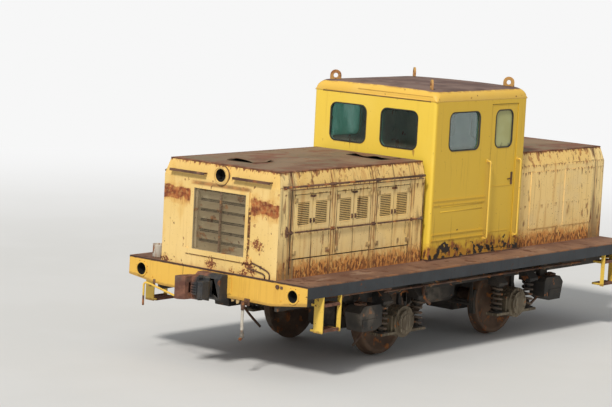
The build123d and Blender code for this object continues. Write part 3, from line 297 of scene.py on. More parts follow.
def nose_wear(f, front):
    """The large patches beside the grille, smaller spots, and rust along the lips and the seam."""
    for middle, half, height, depth in ((-0.775, 0.245, 0.945, 0.075), (0.760, 0.235, 0.900, 0.090)):
        level = abs(f.z - DECK - height)
        shape = f.noise((6.0, 6.0, 9.0), 8, 31) * 0.26 - 0.13
        wide = f.over(abs(f.y - middle) + f.noise(14.0, 4, 32) * 0.06, half + 0.045, half + 0.015)
        core = wide * f.over(level + shape, depth + 0.020, depth - 0.010)
        halo = wide * f.over(abs(f.z - DECK - height + 0.02) + shape * 1.4, depth + 0.10, depth + 0.01)
        runs = wide * f.drips(DECK + height - depth * 0.5, 0.24, 33, 0.60, 40)
        f.layer(halo * front * 0.60, (0.66, 0.36, 0.085), 0.75)
        f.layer(runs * front * 0.75, f.rust(RUST_ORANGE, (0.62, 0.30, 0.08)), 0.85)
        solid = f.over(f.noise(24.0, 6, 34), 0.42, 0.54)
        scale = f.rust((0.17, 0.040, 0.014), (0.42, 0.13, 0.036), 35)
        f.layer(core * front * (0.74 + solid * 0.26), scale, 0.92, 0.0015)
    beside = (f.band(f.y, 0.515, 0.007, 0.014)
              * f.over(f.z, DECK + 0.90, DECK + 0.84) * f.over(f.z, DECK + 0.10, DECK + 0.14))
    broken = f.over(f.noise(22.0, 4, 36), 0.40, 0.50)
    f.layer(beside * front * broken, f.rust(RUST_DARK, RUST_BROWN), 0.9)
    spots = ((0.656, 0.418, 0.070), (0.70, 0.36, 0.030), (-0.115, 0.066, 0.075), (0.52, 0.14, 0.075),
             (0.46, 0.03, 0.06), (-0.93, 0.03, 0.06), (0.24, 0.02, 0.035), (0.60, 0.06, 0.05))
    for y, height, size in spots:
        away = abs(f.y - y) * 0.8 + abs(f.z - DECK - height)
        core = f.over(away + f.noise(34.0, 7, 37) * 0.50 - 0.25, size, size - 0.016)
        stain = f.over(away + f.noise(12.0, 4, 40) * 0.16 - 0.08, size + 0.05, size - 0.02)
        f.layer(stain * front * 0.5, (0.62, 0.32, 0.08), 0.75)
        f.layer(core * front, f.rust((0.13, 0.045, 0.02), (0.30, 0.10, 0.035)), 0.9, 0.001)
    under = f.band(f.z, DECK + 0.152, 0.003, 0.006) * f.over(abs(f.y), 0.58, 0.56)
    f.layer(under * front * f.over(f.noise(18.0, 4, 38), 0.36, 0.46), f.rust(), 0.9)
    lip = f.band(f.z, DECK + 1.105, 0.010, 0.030)
    dust = f.over(abs(f.y) + f.noise(12.0, 4, 39) * 0.10, 0.60, 0.50) * lip
    f.layer(dust * front * 0.7, f.rust(), 0.88)


def hood_paint(name, on_doors=False):
    """Faded cream yellow, running with rust from the roof's edge and round the doors."""
    f = Finish(name, (0.80, 0.55, 0.19), 0.55)
    leaning = f.larger(f.z - LEAN_Z, 0)
    across = abs(f.y) + leaning * LEAN_SIDE
    ahead = abs(f.x) + leaning * LEAN_NOSE
    side = f.over(across, HOOD_HALF - 0.030, HOOD_HALF - 0.020) * f.over(ahead, NOSE - 0.004, NOSE - 0.010)
    nose = f.over(ahead, NOSE - 0.022, NOSE - 0.012) * (1 - side)

    # The coat, paler on the sides and warmer where it leans
    f.layer(f.over(f.noise(0.8, 4, 1), 0.44, 0.60), (0.84, 0.595, 0.235), 0.62)
    f.layer(side, (0.95, 0.66, 0.25), 0.62)
    f.layer(side * f.over(f.noise(1.6, 5, 3), 0.46, 0.60) * 0.8, (0.87, 0.63, 0.28), 0.66)
    f.layer(f.patches((5.0, 5.0, 1.6), 0.55, 0.12, 2) * 0.5, (0.72, 0.42, 0.10), 0.6)
    upper = f.over(f.z + f.noise(2.0, 3, 4) * 0.10, DECK + 1.16, DECK + 1.26)
    f.layer(upper * 0.45, (0.80, 0.49, 0.115), 0.6)
    strip = side * f.over(ahead, NOSE - 0.335, NOSE - 0.325)
    f.layer(strip * 0.8, (0.95, 0.70, 0.30), 0.66)

    # Rust that climbs from the deck, with freckles above it
    low = side * f.over(f.z + f.noise((4.0, 4.0, 6.0), 5, 5) * 0.26, DECK + 0.47, DECK + 0.20)
    f.layer(low * 0.80, (0.88, 0.47, 0.115), 0.7)
    falling = f.over(f.z, DECK + 0.34, DECK + 0.02) * 0.16
    blotch = f.over(f.noise((15, 15, 8), 6, 6) + falling, 0.53, 0.60)
    f.layer(low * blotch * 0.85, (0.66, 0.25, 0.055), 0.85)
    eaten = f.over(f.noise((26, 26, 13), 6, 21) + falling, 0.62, 0.68)
    f.layer(low * eaten * 0.9, (0.17, 0.058, 0.022), 0.9, -0.001)
    f.layer(f.streaks(0.54, 0.16, 7, 34, 1.1) * (0.22 + side * 0.18), (0.46, 0.24, 0.075), 0.75)
    f.layer(f.patches(46.0, 0.66, 0.03, 8, 2) * (0.35 + side * 0.5), RUST_BROWN, 0.9, -0.0008)
    f.layer(f.patches((15.0, 15.0, 9.0), 0.645, 0.04, 9, 6) * 0.9, f.rust(), 0.9, 0.0010)
    foot = f.over(f.z + f.noise((9.0, 9.0, 5.0), 6, 10) * 0.34, DECK + 0.220, DECK + 0.14)
    f.layer(foot * (0.30 + side * 0.6), f.rust((0.34, 0.115, 0.035), (0.66, 0.27, 0.065)), 0.92, 0.002)

    # Runs from the roof's edge, the bend, the louvres and the strap
    f.layer(f.drips(HOOD_TOP + 0.004, 0.11, 11, 0.62, 20), f.rust(RUST_BROWN, RUST_ORANGE), 0.9, 0.001)
    fine = f.drips(HOOD_TOP - 0.010, 0.14, 17, 0.54, 44, 0.06)
    f.layer(fine * 0.6, f.rust(RUST_BROWN, (0.55, 0.24, 0.06)), 0.9)
    f.layer(side * f.drips(HOOD_TOP + 0.004, 0.36, 12, 0.46, 9, 0.05) * 0.85, f.rust(), 0.9)
    worn = upper * side * f.patches((8.0, 8.0, 5.0), 0.56, 0.05, 23, 6)
    f.layer(worn * 0.8, f.rust(RUST_BROWN, (0.52, 0.22, 0.06)), 0.9)
    f.layer(side * f.drips(DECK + 1.185, 0.12, 13, 0.56, 30, 0.05) * 0.8, f.rust(), 0.9)
    f.layer(side * f.drips(DECK + 1.09, 0.20, 14, 0.52, 22, 0.08) * 0.8, f.rust(), 0.9)
    below_strap = side * f.drips(DECK + 0.600, 0.28, 15, 0.50, 14, 0.06)
    f.layer(below_strap * 0.6, f.rust(RUST_BROWN, (0.50, 0.22, 0.06)), 0.88)
    f.layer(side * f.streaks(0.57, 0.10, 19, 9, 0.7) * 0.5, (0.62, 0.30, 0.08), 0.8)
    f.layer(side * f.patches((9.0, 9.0, 2.6), 0.60, 0.05, 22, 6) * 0.7, f.rust(), 0.9)
    low_runs = side * f.drips(DECK + 0.235, 0.22, 16, 0.48, 16, 0.20)
    f.layer(low_runs * 0.5, f.rust(RUST_BROWN, RUST_ORANGE), 0.9, 0.001)
    runs = f.over(f.noise((34.0, 3.0, 1.7), 5, 20), 0.40, 0.62)
    for edge in DOOR_STARTS + DOOR_ENDS + LEAF_MEETINGS:
        f.layer(f.band(f.x, edge, 0.006, 0.016) * side * runs * 0.9, f.rust(RUST_DARK, RUST_BROWN), 0.88)

    if on_doors:
        f.layer(f.over(abs(f.y), HOOD_HALF - 0.004, HOOD_HALF - 0.009), (0.16, 0.10, 0.05), 0.8)
    else:
        post_wear(f, side, ahead, runs)
        nose_wear(f, nose * f.over(f.x, 0, 0.1))
        # The hood's inner faces, below the roof, are near black: painted shade inside the hood.
        inside = ((1 - f.over(across, HOOD_HALF - 0.036, HOOD_HALF - 0.030))
                  * (1 - f.over(ahead, NOSE - 0.036, NOSE - 0.030)))
        f.layer(inside * f.over(f.z, HOOD_TOP - 0.003, HOOD_TOP - 0.008), (0.028, 0.022, 0.016), 0.85)
    f.grain(38.0, 0.0005)
    f.grain((3.0, 3.0, 2.0), 0.012, 2, 12)
    return f.done()


def cab_paint():
    """Warm yellow outside, teal inside."""
    f = Finish("cab_paint", (0.90, 0.625, 0.070), 0.48)
    f.layer(f.over(f.noise(0.9, 4, 2), 0.46, 0.60) * 0.5, (0.91, 0.655, 0.105), 0.55)
    front = f.over(abs(f.x - CAB_MID), CAB_REACH - 0.03, CAB_REACH - 0.01)
    # The sides are darker: partly dirt and partly painted shade of the trees over them.
    f.layer((1 - front) * 0.75, (0.66, 0.395, 0.020), 0.55)
    f.layer(f.streaks(0.56, 0.20, 4, 10, 0.5) * 0.30, (0.56, 0.33, 0.035), 0.7)
    f.layer((1 - front) * f.streaks(0.60, 0.08, 5, 26, 0.9) * 0.5, (0.36, 0.19, 0.03), 0.85)
    f.layer(f.patches(7.0, 0.70, 0.02, 6, 6) * 0.9, f.rust(), 0.9, 0.0015)
    f.layer(f.patches(34.0, 0.70, 0.02, 8, 3) * 0.8, RUST_BROWN, 0.9, -0.0008)
    foot = f.over(f.z + f.noise((5.0, 5.0, 6.0), 6, 10) * 0.60, DECK + 0.58, DECK + 0.44)
    f.layer(foot * 0.9, (0.52, 0.24, 0.025), 0.8)
    f.layer(foot * f.over(f.noise((16.0, 16.0, 7.0), 6, 11), 0.50, 0.58), f.rust(), 0.9, 0.002)
    chips = f.over(f.z + f.noise((3.6, 3.6, 5.0), 6, 17) * 0.9, DECK + 0.62, DECK + 0.58) * (1 - front)
    f.layer(chips * f.over(f.noise(9.0, 6, 18), 0.49, 0.53), (0.030, 0.022, 0.016), 0.8, -0.001)
    f.layer(f.drips(DECK + 1.50, 0.40, 12, 0.40, 24) * 0.7, f.rust(), 0.88)
    f.layer(f.drips(WALL_TOP, 0.22, 13, 0.40, 22) * 0.55, (0.40, 0.21, 0.035), 0.85)
    inside = (f.over(abs(f.y), CAB_HALF - 0.020, CAB_HALF - 0.032)
              * f.over(abs(f.x - CAB_MID), CAB_REACH - 0.020, CAB_REACH - 0.032))
    worn = f.blend((0.085, 0.33, 0.285), (0.16, 0.44, 0.38), f.over(f.noise(2.2, 4, 14), 0.4, 0.6))
    f.layer(inside, worn, 0.55)
    f.layer(inside * f.patches(5.0, 0.58, 0.04, 15), (0.10, 0.075, 0.05), 0.85)
    f.grain(34.0, 0.0004)
    f.grain((2.2, 2.2, 1.4), 0.010, 2, 16)
    return f.done()


def cab_roof_paint():
    """Yellow round the edge and dusty brown on top, with rings where the sheet has buckled."""
    f = Finish("cab_roof_paint", (0.80, 0.49, 0.075), 0.52)
    f.layer(f.over(f.noise(1.4, 4, 2), 0.44, 0.60) * 0.5, (0.82, 0.53, 0.12), 0.58)
    f.layer(f.patches(9.0, 0.66, 0.03, 5, 6), f.rust(), 0.9, 0.001)
    f.layer(f.patches(40.0, 0.68, 0.03, 6, 3) * 0.8, RUST_BROWN, 0.9)
    rise = f.z + f.y * f.y * 0.017 + f.noise((6.0, 6.0, 9.0), 5, 6) * 0.018
    top = f.over(rise, WALL_TOP + 0.158, WALL_TOP + 0.166)
    rim = f.over(rise, WALL_TOP + 0.140, WALL_TOP + 0.158) * f.over(f.noise(12.0, 5, 7), 0.42, 0.54)
    f.layer(rim * 0.8, (0.50, 0.27, 0.06), 0.75)
    cloud = f.over(f.noise(2.4, 6, 8), 0.38, 0.62)
    f.layer(top, f.blend((0.120, 0.070, 0.056), (0.215, 0.138, 0.108), cloud), 0.85)
    for x, y, stretch, waves, seed in ((-0.10, -0.05, 1.5, 58.0, 9), (-0.95, 0.30, 1.2, 46.0, 10)):
        dx, dy = f.x - x, f.y - y
        away = f.maths("SQRT", dx * dx * stretch + dy * dy * 0.9) + f.noise(1.6, 3, seed) * 0.20
        ring = f.maths("SINE", away * waves * 0.5)
        near = f.over(away, 0.78, 0.42)
        f.layer(top * near * f.over(ring, 0.1, 0.9) * 0.65, (0.125, 0.062, 0.052), 0.85)
        f.height = f.height + ring * top * near * 0.006
    f.layer(top * f.patches(8.0, 0.62, 0.05, 11, 6), RUST_BROWN, 0.9)
    within = (f.over(abs(f.x - CAB_MID), CAB_REACH - 0.020, CAB_REACH - 0.032)
              * f.over(abs(f.y), CAB_HALF - 0.020, CAB_HALF - 0.030))
    f.layer(within * f.over(f.z, WALL_TOP + 0.072, WALL_TOP + 0.066), (0.10, 0.30, 0.26), 0.6)
    f.grain(30.0, 0.0008)
    return f.done()


def slat_dust():
    """Dull metal under pale dust, with rust in places."""
    f = Finish("slat_dust", (0.36, 0.28, 0.165), 0.85)
    f.layer(f.over(f.noise(1.7, 6, 2), 0.38, 0.62), (0.50, 0.41, 0.255), 0.8)
    f.layer(f.patches(5.5, 0.58, 0.06, 4, 6), f.rust(RUST_DARK, RUST_ORANGE), 0.92, 0.001)
    f.layer(f.patches(18.0, 0.63, 0.04, 6, 4) * 0.7, GRIME, 0.9)
    f.layer(f.patches(2.4, 0.62, 0.10, 9, 5) * 0.5, (0.675, 0.5945, 0.3825), 0.8)
    f.grain(40.0, 0.0012)
    f.grain(1.6, 0.003, 2, 13)
    return f.done()


def hood_roof_rust():
    """Rust brown round the edge and olive grey in the dents, where the sheet has buckled."""
    f = Finish("hood_roof_rust", (0.185, 0.085, 0.045), 0.85)
    waves = f.noise((0.75, 1.5, 1.0), 3, 2)
    f.layer(f.over(waves, 0.42, 0.58), (0.255, 0.165, 0.095), 0.78)
    f.layer(f.over(f.noise((1.2, 2.2, 1.0), 4, 3), 0.48, 0.60) * 0.8, (0.205, 0.150, 0.085), 0.76)
    f.layer(f.over(f.noise((1.6, 3.2, 1.0), 5, 4), 0.54, 0.62) * 0.8, (0.215, 0.088, 0.048), 0.85)
    ragged = f.noise(3.0, 5, 5) * 0.24
    border = f.rust((0.12, 0.045, 0.022), (0.27, 0.11, 0.05))
    for reach, edge in ((abs(f.y), ROOF_HALF + 0.02), (abs(f.x), ROOF_FRONT)):
        f.layer(f.over(reach + ragged, edge, edge + 0.10), border, 0.9)
    f.layer(f.patches(9.0, 0.60, 0.05, 6, 6) * 0.7, f.rust(), 0.92, 0.001)
    f.layer(f.patches(30.0, 0.64, 0.04, 7, 4) * 0.6, GRIME, 0.9)
    f.layer(f.patches(3.5, 0.64, 0.06, 9, 5) * 0.5, (0.36, 0.26, 0.16), 0.8)
    f.height = f.height + waves * 0.10
    f.grain(26.0, 0.0012)
    return f.done()


def chequer_plate():
    """Rusty deck plate with raised lozenges, worn pale along its edge."""
    f = Finish("deck_rust", (0.15, 0.072, 0.042), 0.85)
    f.layer(f.over(f.noise(1.3, 6, 2), 0.40, 0.60), (0.245, 0.130, 0.075), 0.8)
    f.layer(f.patches(6.0, 0.56, 0.07, 3, 6), (0.115, 0.042, 0.02), 0.92)
    f.layer(f.patches((1.6, 5.0, 2.0), 0.58, 0.08, 5, 5) * 0.5, (0.34, 0.23, 0.155), 0.8)
    f.layer(f.patches(26.0, 0.62, 0.05, 9, 4) * 0.5, GRIME, 0.9)
    edge = f.over(abs(f.y), SIDE_EDGE - 0.05, SIDE_EDGE - 0.03)
    f.layer(edge * f.patches(5.0, 0.46, 0.10, 6, 5), (0.26, 0.115, 0.05), 0.85)
    # A dark line along the deck's ends: painted shadow of the gap over the beam, with rust.
    rim = f.over(abs(f.x), BEAM - 0.005, BEAM - 0.001)
    f.layer(rim, (0.050, 0.028, 0.018), 0.85)
    crossing = f.maths("SINE", (f.x + f.y) * 105.0) * f.maths("SINE", (f.x - f.y) * 105.0)
    f.height = f.height + f.over(crossing, 0.25, 0.8) * 0.0016
    f.grain(24.0, 0.0012)
    return f.done()


def worn_coat(name, coat, shade, chips, streak):
    """Painted steel with dirt, chips and runs of rust."""
    f = Finish(name, coat, 0.52)
    f.layer(f.over(f.noise(1.8, 4, 1), 0.40, 0.62) * 0.8, shade, 0.6)
    f.layer(f.streaks(0.50, 0.20, 3, 18, 1.4) * 0.35, (shade[0] * 0.55, shade[1] * 0.5, shade[2] * 0.6), 0.7)
    f.layer(f.streaks(streak, 0.08, 4, 30, 1.6) * 0.8, f.rust(), 0.88)
    f.layer(f.patches(7.0, chips, 0.04, 5, 6), f.rust(), 0.9, 0.0015)
    f.layer(f.patches(28.0, 0.64, 0.03, 6, 3) * 0.7, RUST_DARK, 0.9, -0.0008)
    f.grain(36.0, 0.0006)
    return f.done()


def iron(name, dark, light, orange):
    """A rough casting or forging, dark with rust breaking out on it."""
    f = Finish(name, dark, 0.8)
    f.layer(f.over(f.noise(3.2, 6, 1), 0.36, 0.62), light, 0.78)
    f.layer(f.patches(7.5, orange, 0.06, 2, 6), f.rust(RUST_BROWN, RUST_ORANGE), 0.92, 0.001)
    f.layer(f.patches(2.2, 0.56, 0.10, 5, 5) * 0.35, (0.30, 0.25, 0.19), 0.9)
    f.grain(60.0, 0.0010)
    f.grain(14.0, 0.0025, 4, 8)
    return f.done()


def beam_paint():
    """The brightest coat, with dirt along its lower edge and rust creeping from the deck's lip, darkened
    there as painted shadow of the gap under the deck.
    """
    f = Finish("beam_yellow", (0.80, 0.475, 0.075), 0.46)
    f.layer(f.over(f.noise(1.1, 4, 1), 0.44, 0.60) * 0.7, (0.74, 0.42, 0.062), 0.52)
    f.layer(f.streaks(0.52, 0.16, 2, 14, 1.0) * 0.35, (0.62, 0.33, 0.05), 0.6)
    f.layer(f.drips(DECK - 0.012, 0.14, 3, 0.44, 34) * 0.85, f.rust(), 0.88)
    # The band under the deck's lip is rust and painted shadow of the gap between deck and beam.
    lip = f.over(f.z + f.noise(14.0, 5, 4) * 0.016, DECK - 0.020, DECK - 0.012)
    f.layer(lip, f.rust(RUST_DARK, RUST_BROWN), 0.9)
    lower = BEAM_LOW + 0.076 * f.over(abs(f.y), 0.96, 1.55)
    dirt = f.over(f.z - lower + f.noise((9, 9, 14), 5, 5) * 0.06, 0.075, 0.045)
    f.layer(dirt * 0.7, (0.34, 0.19, 0.045), 0.75)
    for y, size in ((-1.18, 0.030), (-0.62, 0.024), (0.50, 0.10), (0.72, 0.06), (1.05, 0.05)):
        run = f.over(abs(f.y - y) + f.noise((16, 16, 2.0), 5, 6) * 0.14 - 0.07, size + 0.02, size - 0.02)
        f.layer(run * f.over(f.noise((40, 40, 2.0), 5, 9), 0.42, 0.62) * 0.55, (0.62, 0.33, 0.05), 0.7)
    f.layer(f.patches(16.0, 0.685, 0.03, 7, 5), f.rust(), 0.9, 0.001)
    f.layer(f.band(f.y, -0.576, 0.002, 0.003), BARE_BLACK, 0.8, -0.001)
    f.layer(f.over(abs(f.x), BEAM - 0.006, BEAM - 0.012), (0.045, 0.034, 0.024), 0.8)
    f.grain(34.0, 0.0004)
    f.grain(2.0, 0.006, 2, 8)
    return f.done()


def step_paint():
    """Yellow posts and rusty treads."""
    f = Finish("step_yellow", (0.84, 0.56, 0.085), 0.48)
    f.layer(f.over(f.noise(2.4, 4, 1), 0.42, 0.62) * 0.7, (0.78, 0.49, 0.075), 0.55)
    f.layer(f.patches(9.0, 0.62, 0.04, 2, 6), f.rust(), 0.9, 0.001)
    f.layer(f.patches(34.0, 0.65, 0.03, 3, 3) * 0.7, RUST_DARK, 0.9)
    foot = f.over(f.z + f.noise((9, 9, 14), 5, 4) * 0.12, DECK - 0.54, DECK - 0.58)
    f.layer(foot * 0.7, f.rust(RUST_DARK, RUST_BROWN), 0.9)
    inner = f.over(abs(abs(f.x) - TREAD_MID), TREAD_HALF - 0.010, TREAD_HALF - 0.018)
    for drop in (0.285, 0.615):
        tread = f.band(f.z, DECK - drop, 0.017, 0.004) * inner
        f.layer(tread, f.rust((0.10, 0.042, 0.026), (0.24, 0.105, 0.062)), 0.88)
    f.grain(36.0, 0.0005)
    return f.done()


def coupler_iron():
    """Dark casting, rusty on the guard arm's side."""
    f = Finish("coupler_iron", (0.026, 0.027, 0.030), 0.66)
    f.layer(f.over(f.noise(4.0, 6, 1), 0.42, 0.62), (0.060, 0.052, 0.045), 0.75)
    turned = f.y * (2.0 * f.over(f.x, -0.1, 0.1) - 1.0)
    ahead = f.over(abs(f.x), BEAM - 0.02, BEAM + 0.02)
    rusty = f.over(turned + f.noise(9.0, 5, 3) * 0.10, 0.085, 0.010) * ahead
    f.layer(rusty * 0.9, f.rust((0.120, 0.046, 0.028), (0.235, 0.100, 0.058)), 0.88)
    f.layer(f.patches(8.0, 0.60, 0.05, 4, 6) * 0.8, f.rust(), 0.9, 0.001)
    f.layer(f.patches(2.6, 0.57, 0.10, 6, 5) * 0.4, (0.17, 0.15, 0.12), 0.85)
    f.layer(f.patches(14.0, 0.64, 0.04, 7, 4) * 0.6, (0.14, 0.115, 0.085), 0.85)
    f.grain(55.0, 0.0012)
    f.grain(12.0, 0.0035, 4, 8)
    return f.done()


def axlebox_iron():
    """A weathered casting with upright streaks."""
    f = Finish("axlebox_rust", (0.105, 0.078, 0.048), 0.82)
    f.layer(f.over(f.noise(2.6, 6, 1), 0.40, 0.62), (0.19, 0.15, 0.095), 0.80)
    f.layer(f.patches((34.0, 34.0, 3.0), 0.50, 0.12, 2), (0.235, 0.195, 0.135), 0.82)
    f.layer(f.patches((40.0, 40.0, 2.4), 0.56, 0.10, 3) * 0.85, (0.035, 0.026, 0.018), 0.8)
    f.layer(f.patches(9.0, 0.62, 0.05, 4, 6), f.rust(RUST_BROWN, RUST_ORANGE), 0.92, 0.001)
    f.grain(50.0, 0.0012)
    return f.done()


def plain(name, colour, shade, roughness, scale=4.0):
    """A quiet finish with a second tone and a fine grain."""
    f = Finish(name, colour, roughness)
    f.layer(f.over(f.noise(scale, 5, 1), 0.40, 0.62), shade, min(roughness + 0.12, 1.0))
    f.layer(f.patches(scale * 3, 0.62, 0.06, 3, 5) * 0.5, tuple(part * 0.5 for part in shade), 0.85)
    f.grain(80.0, 0.0006)
    return f.done()


def dusty_glass():
    """Clear glass with a thin film of dust, and a thick green one at the rear and on the right; on the right
    it is mostly a translucent teal sheet of painted light.
    """
    f = Finish("window_glass", (0.72, 0.80, 0.76), 0.10)
    film = f.over(f.noise((5.0, 5.0, 2.0), 5, 2), 0.40, 0.74)
    runs = f.streaks(0.54, 0.20, 3, 30, 1.5)
    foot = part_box("cab_glass")[0].z
    low = f.over(f.z, foot + 0.10, foot)
    behind = f.over(f.x, CAB_REAR + 0.3, CAB_REAR + 0.2)
    shaded = f.larger(behind, f.over(f.y, 0.06 - CAB_HALF, 0.04 - CAB_HALF))
    grown = f.over(f.noise((3.0, 3.0, 2.0), 6, 5), 0.30, 0.56)
    dirt = film * 0.03 + runs * 0.02 + low * 0.08 + 0.01 + shaded * (0.60 + grown * 0.36)
    clear = f.node("ShaderNodeBsdfTransparent", sockets={"Color": (0.88, 0.94, 0.92)})
    gloss = f.node("ShaderNodeBsdfGlossy", sockets={"Color": (0.95, 0.97, 1.0), "Roughness": 0.06})
    fresnel = f.node("ShaderNodeFresnel", sockets={"IOR": 1.30})
    pane = f.node("ShaderNodeMixShader", sockets={0: fresnel * 0.5, 1: clear, 2: gloss})
    darker = f.larger(behind, f.over(f.noise(2.6, 5, 7), 0.50, 0.60))
    moss = f.blend((0.05, 0.20, 0.165), (0.050, 0.060, 0.034), darker)
    tint = f.blend((0.45, 0.42, 0.33), moss, shaded)
    matt = f.node("ShaderNodeBsdfDiffuse", sockets={"Color": tint})
    # On the right the film is a translucent teal sheet: painted light standing in for the sunlit teal inside
    # of the cab's right wall.
    glow = f.blend(tint, (0.28, 0.66, 0.56), shaded)
    lit = f.node("ShaderNodeBsdfTranslucent", sockets={"Color": glow})
    dust = f.node("ShaderNodeMixShader", sockets={0: shaded * 0.62 - behind * 0.42, 1: matt, 2: lit})
    both = f.node("ShaderNodeMixShader", sockets={0: dirt, 1: pane, 2: dust})
    f.node("ShaderNodeOutputMaterial", sockets={"Surface": both})
    return f.material


def seat_vinyl():
    """Cracked dark vinyl with a pebbled skin."""
    f = Finish("seat_vinyl", (0.060, 0.035, 0.025), 0.45)
    f.layer(f.over(f.noise(7.0, 4, 1), 0.42, 0.62), (0.11, 0.065, 0.045), 0.55)
    f.layer(f.patches(30.0, 0.62, 0.03, 2, 5) * 0.6, (0.20, 0.15, 0.11), 0.8, -0.0006)
    cells = f.node("ShaderNodeTexVoronoi", {"feature": "DISTANCE_TO_EDGE"},
                   {"Vector": f.place, "Scale": 320.0})
    f.height = f.height + f.over(cells, 0.0, 0.25) * 0.0004
    return f.done()


def stage_floor():
    """A plain pale floor that fades into the white surround."""
    f = Finish("pale_floor", (0.66, 0.655, 0.64), 0.8)
    f.layer(f.over(f.noise(0.5, 3, 1), 0.4, 0.6) * 0.5, (0.69, 0.685, 0.675))
    mat = f.node("ShaderNodeBsdfPrincipled", sockets={"Base Color": f.colour, "Roughness": 0.85})
    white = f.node("ShaderNodeEmission", sockets={"Color": (0.93, 0.93, 0.93), "Strength": 1.0})
    away = f.node("ShaderNodeVectorMath", {"operation": "LENGTH"}, {0: f.place}, out="Value")
    fade = f.over(away, 7.0, 24.0)
    seen = f.node("ShaderNodeLightPath", out="Is Camera Ray")
    both = f.node("ShaderNodeMixShader", sockets={0: fade * seen, 1: mat, 2: white})
    f.node("ShaderNodeOutputMaterial", sockets={"Surface": both})
    return f.material


# Finishes
HOOD = hood_paint("hood_paint")
DOOR = hood_paint("door_paint", on_doors=True)
CAB = cab_paint()
CAB_ROOF = cab_roof_paint()
HOOD_ROOF = hood_roof_rust()
DECK_RUST = chequer_plate()
SILL = worn_coat("sill_blue_grey", (0.019, 0.022, 0.026), (0.038, 0.044, 0.050), 0.68, 0.66)
BEAM_YELLOW = beam_paint()
STEP_YELLOW = step_paint()
LEVER_YELLOW = worn_coat("lever_yellow", (0.82, 0.53, 0.080), (0.72, 0.44, 0.065), 0.63, 0.62)
TREAD_RUST = iron("tread_rust", (0.10, 0.042, 0.026), (0.22, 0.10, 0.060), 0.58)
EYE_RUST = iron("eye_rust", (0.42, 0.19, 0.070), (0.58, 0.33, 0.090), 0.52)
COUPLER = coupler_iron()
BLACK_FRAME = iron("frame_black", (0.030, 0.027, 0.024), (0.060, 0.050, 0.040), 0.60)
WHEEL = iron("wheel_rust", (0.085, 0.050, 0.032), (0.155, 0.092, 0.055), 0.56)
AXLEBOX = axlebox_iron()
SPRING = iron("spring_steel", (0.060, 0.045, 0.034), (0.13, 0.09, 0.06), 0.58)
SLAT = slat_dust()
RAIL = iron("rail_rust", (0.20, 0.115, 0.050), (0.36, 0.23, 0.105), 0.56)
DARK_BAR = iron("bar_dark", (0.075, 0.034, 0.020), (0.155, 0.076, 0.042), 0.56)
HINGE = iron("hinge_iron", (0.34, 0.21, 0.085), (0.62, 0.43, 0.18), 0.56)
RING_GREY = worn_coat("ring_grey", (0.30, 0.27, 0.21), (0.42, 0.37, 0.27), 0.58, 0.60)
# Near black for painted shade in the lamp wells and cups, under the roof lids, in the coupler's slots and
# under the door leaves, and for dark joints.
BLACK = plain("black_inside", (0.006, 0.005, 0.004), (0.012, 0.010, 0.008), 0.95)
# A dark sheet for painted shade behind the louvres and the grille and in the gaps by the cab.
SHADE_SHEET = plain("dark_inside", (0.020, 0.017, 0.014), (0.045, 0.036, 0.026), 0.9)
GASKET = plain("window_rubber", (0.018, 0.017, 0.016), (0.050, 0.046, 0.040), 0.75)
GLASS = dusty_glass()
ENGINE = plain("engine_grey", (0.11, 0.105, 0.09), (0.17, 0.15, 0.12), 0.6)
POT = worn_coat("pot_enamel", (0.66, 0.62, 0.54), (0.46, 0.36, 0.25), 0.57, 0.52)
BOARDS = plain("floor_boards", (0.14, 0.095, 0.06), (0.24, 0.17, 0.11), 0.8)
DESK = plain("desk_teal", (0.10, 0.26, 0.23), (0.17, 0.33, 0.29), 0.5)
DIAL = plain("dial_face", (0.55, 0.53, 0.46), (0.42, 0.40, 0.33), 0.35)
VINYL = seat_vinyl()
HOSE = plain("hose_rubber", (0.50, 0.46, 0.39), (0.36, 0.31, 0.25), 0.75, 9.0)
GREY_PIPE = worn_coat("pipe_grey", (0.16, 0.14, 0.115), (0.22, 0.19, 0.15), 0.56, 0.60)

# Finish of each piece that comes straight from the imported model
CARRIED = {
    "wheelset_front": WHEEL, "wheelset_rear": WHEEL, "axleboxes": AXLEBOX, "axle_springs": SPRING,
    "frame_plates": BLACK_FRAME, "frame_transoms": BLACK_FRAME, "horn_legs": BLACK_FRAME,
    "spring_gussets": BLACK_FRAME, "deck_plate": DECK_RUST, "side_sills": SILL,
    "front_beam": BEAM_YELLOW, "rear_beam": BEAM_YELLOW, "coupler_pockets": COUPLER,
    "front_coupler": COUPLER, "rear_coupler": COUPLER, "uncoupling_levers": STEP_YELLOW,
    "corner_steps": STEP_YELLOW, "hood_nose": HOOD, "hood_sides": HOOD, "hood_roofs": HOOD_ROOF,
    "nose_grille": SLAT, "headlight_rings": HOOD, "handrails": RAIL, "nose_conduits": RAIL,
    "deck_pot": POT, "engine_block": ENGINE, "rear_hood": HOOD, "cab_front_wall": CAB,
    "cab_rear_wall": CAB, "cab_left_wall": CAB, "cab_right_wall": CAB, "cab_glass": GLASS,
    "cab_floor": BOARDS, "cab_roof": CAB_ROOF, "lifting_eyes": EYE_RUST, "control_desk": DESK,
    "seat_frames": BLACK_FRAME, "seat_pads": VINYL, "axle_gearboxes": BLACK_FRAME,
    "brake_rigging": BLACK_FRAME, "underframe_tanks": BLACK_FRAME, "sand_boxes": BLACK_FRAME,
    "front_brake_hose": HOSE, "rear_brake_hose": HOSE, "hose_cocks": DARK_BAR, "hose_heads": GREY_PIPE,
    "cab_door_left": CAB, "cab_door_right": CAB,
}


def coat_carried_nodes():
    """The door leaves aren't listed, because they all have the door's finish."""
    for name, node in nodes.items():
        node.data.materials.clear()
        node.data.materials.append(CARRIED.get(name, DOOR))


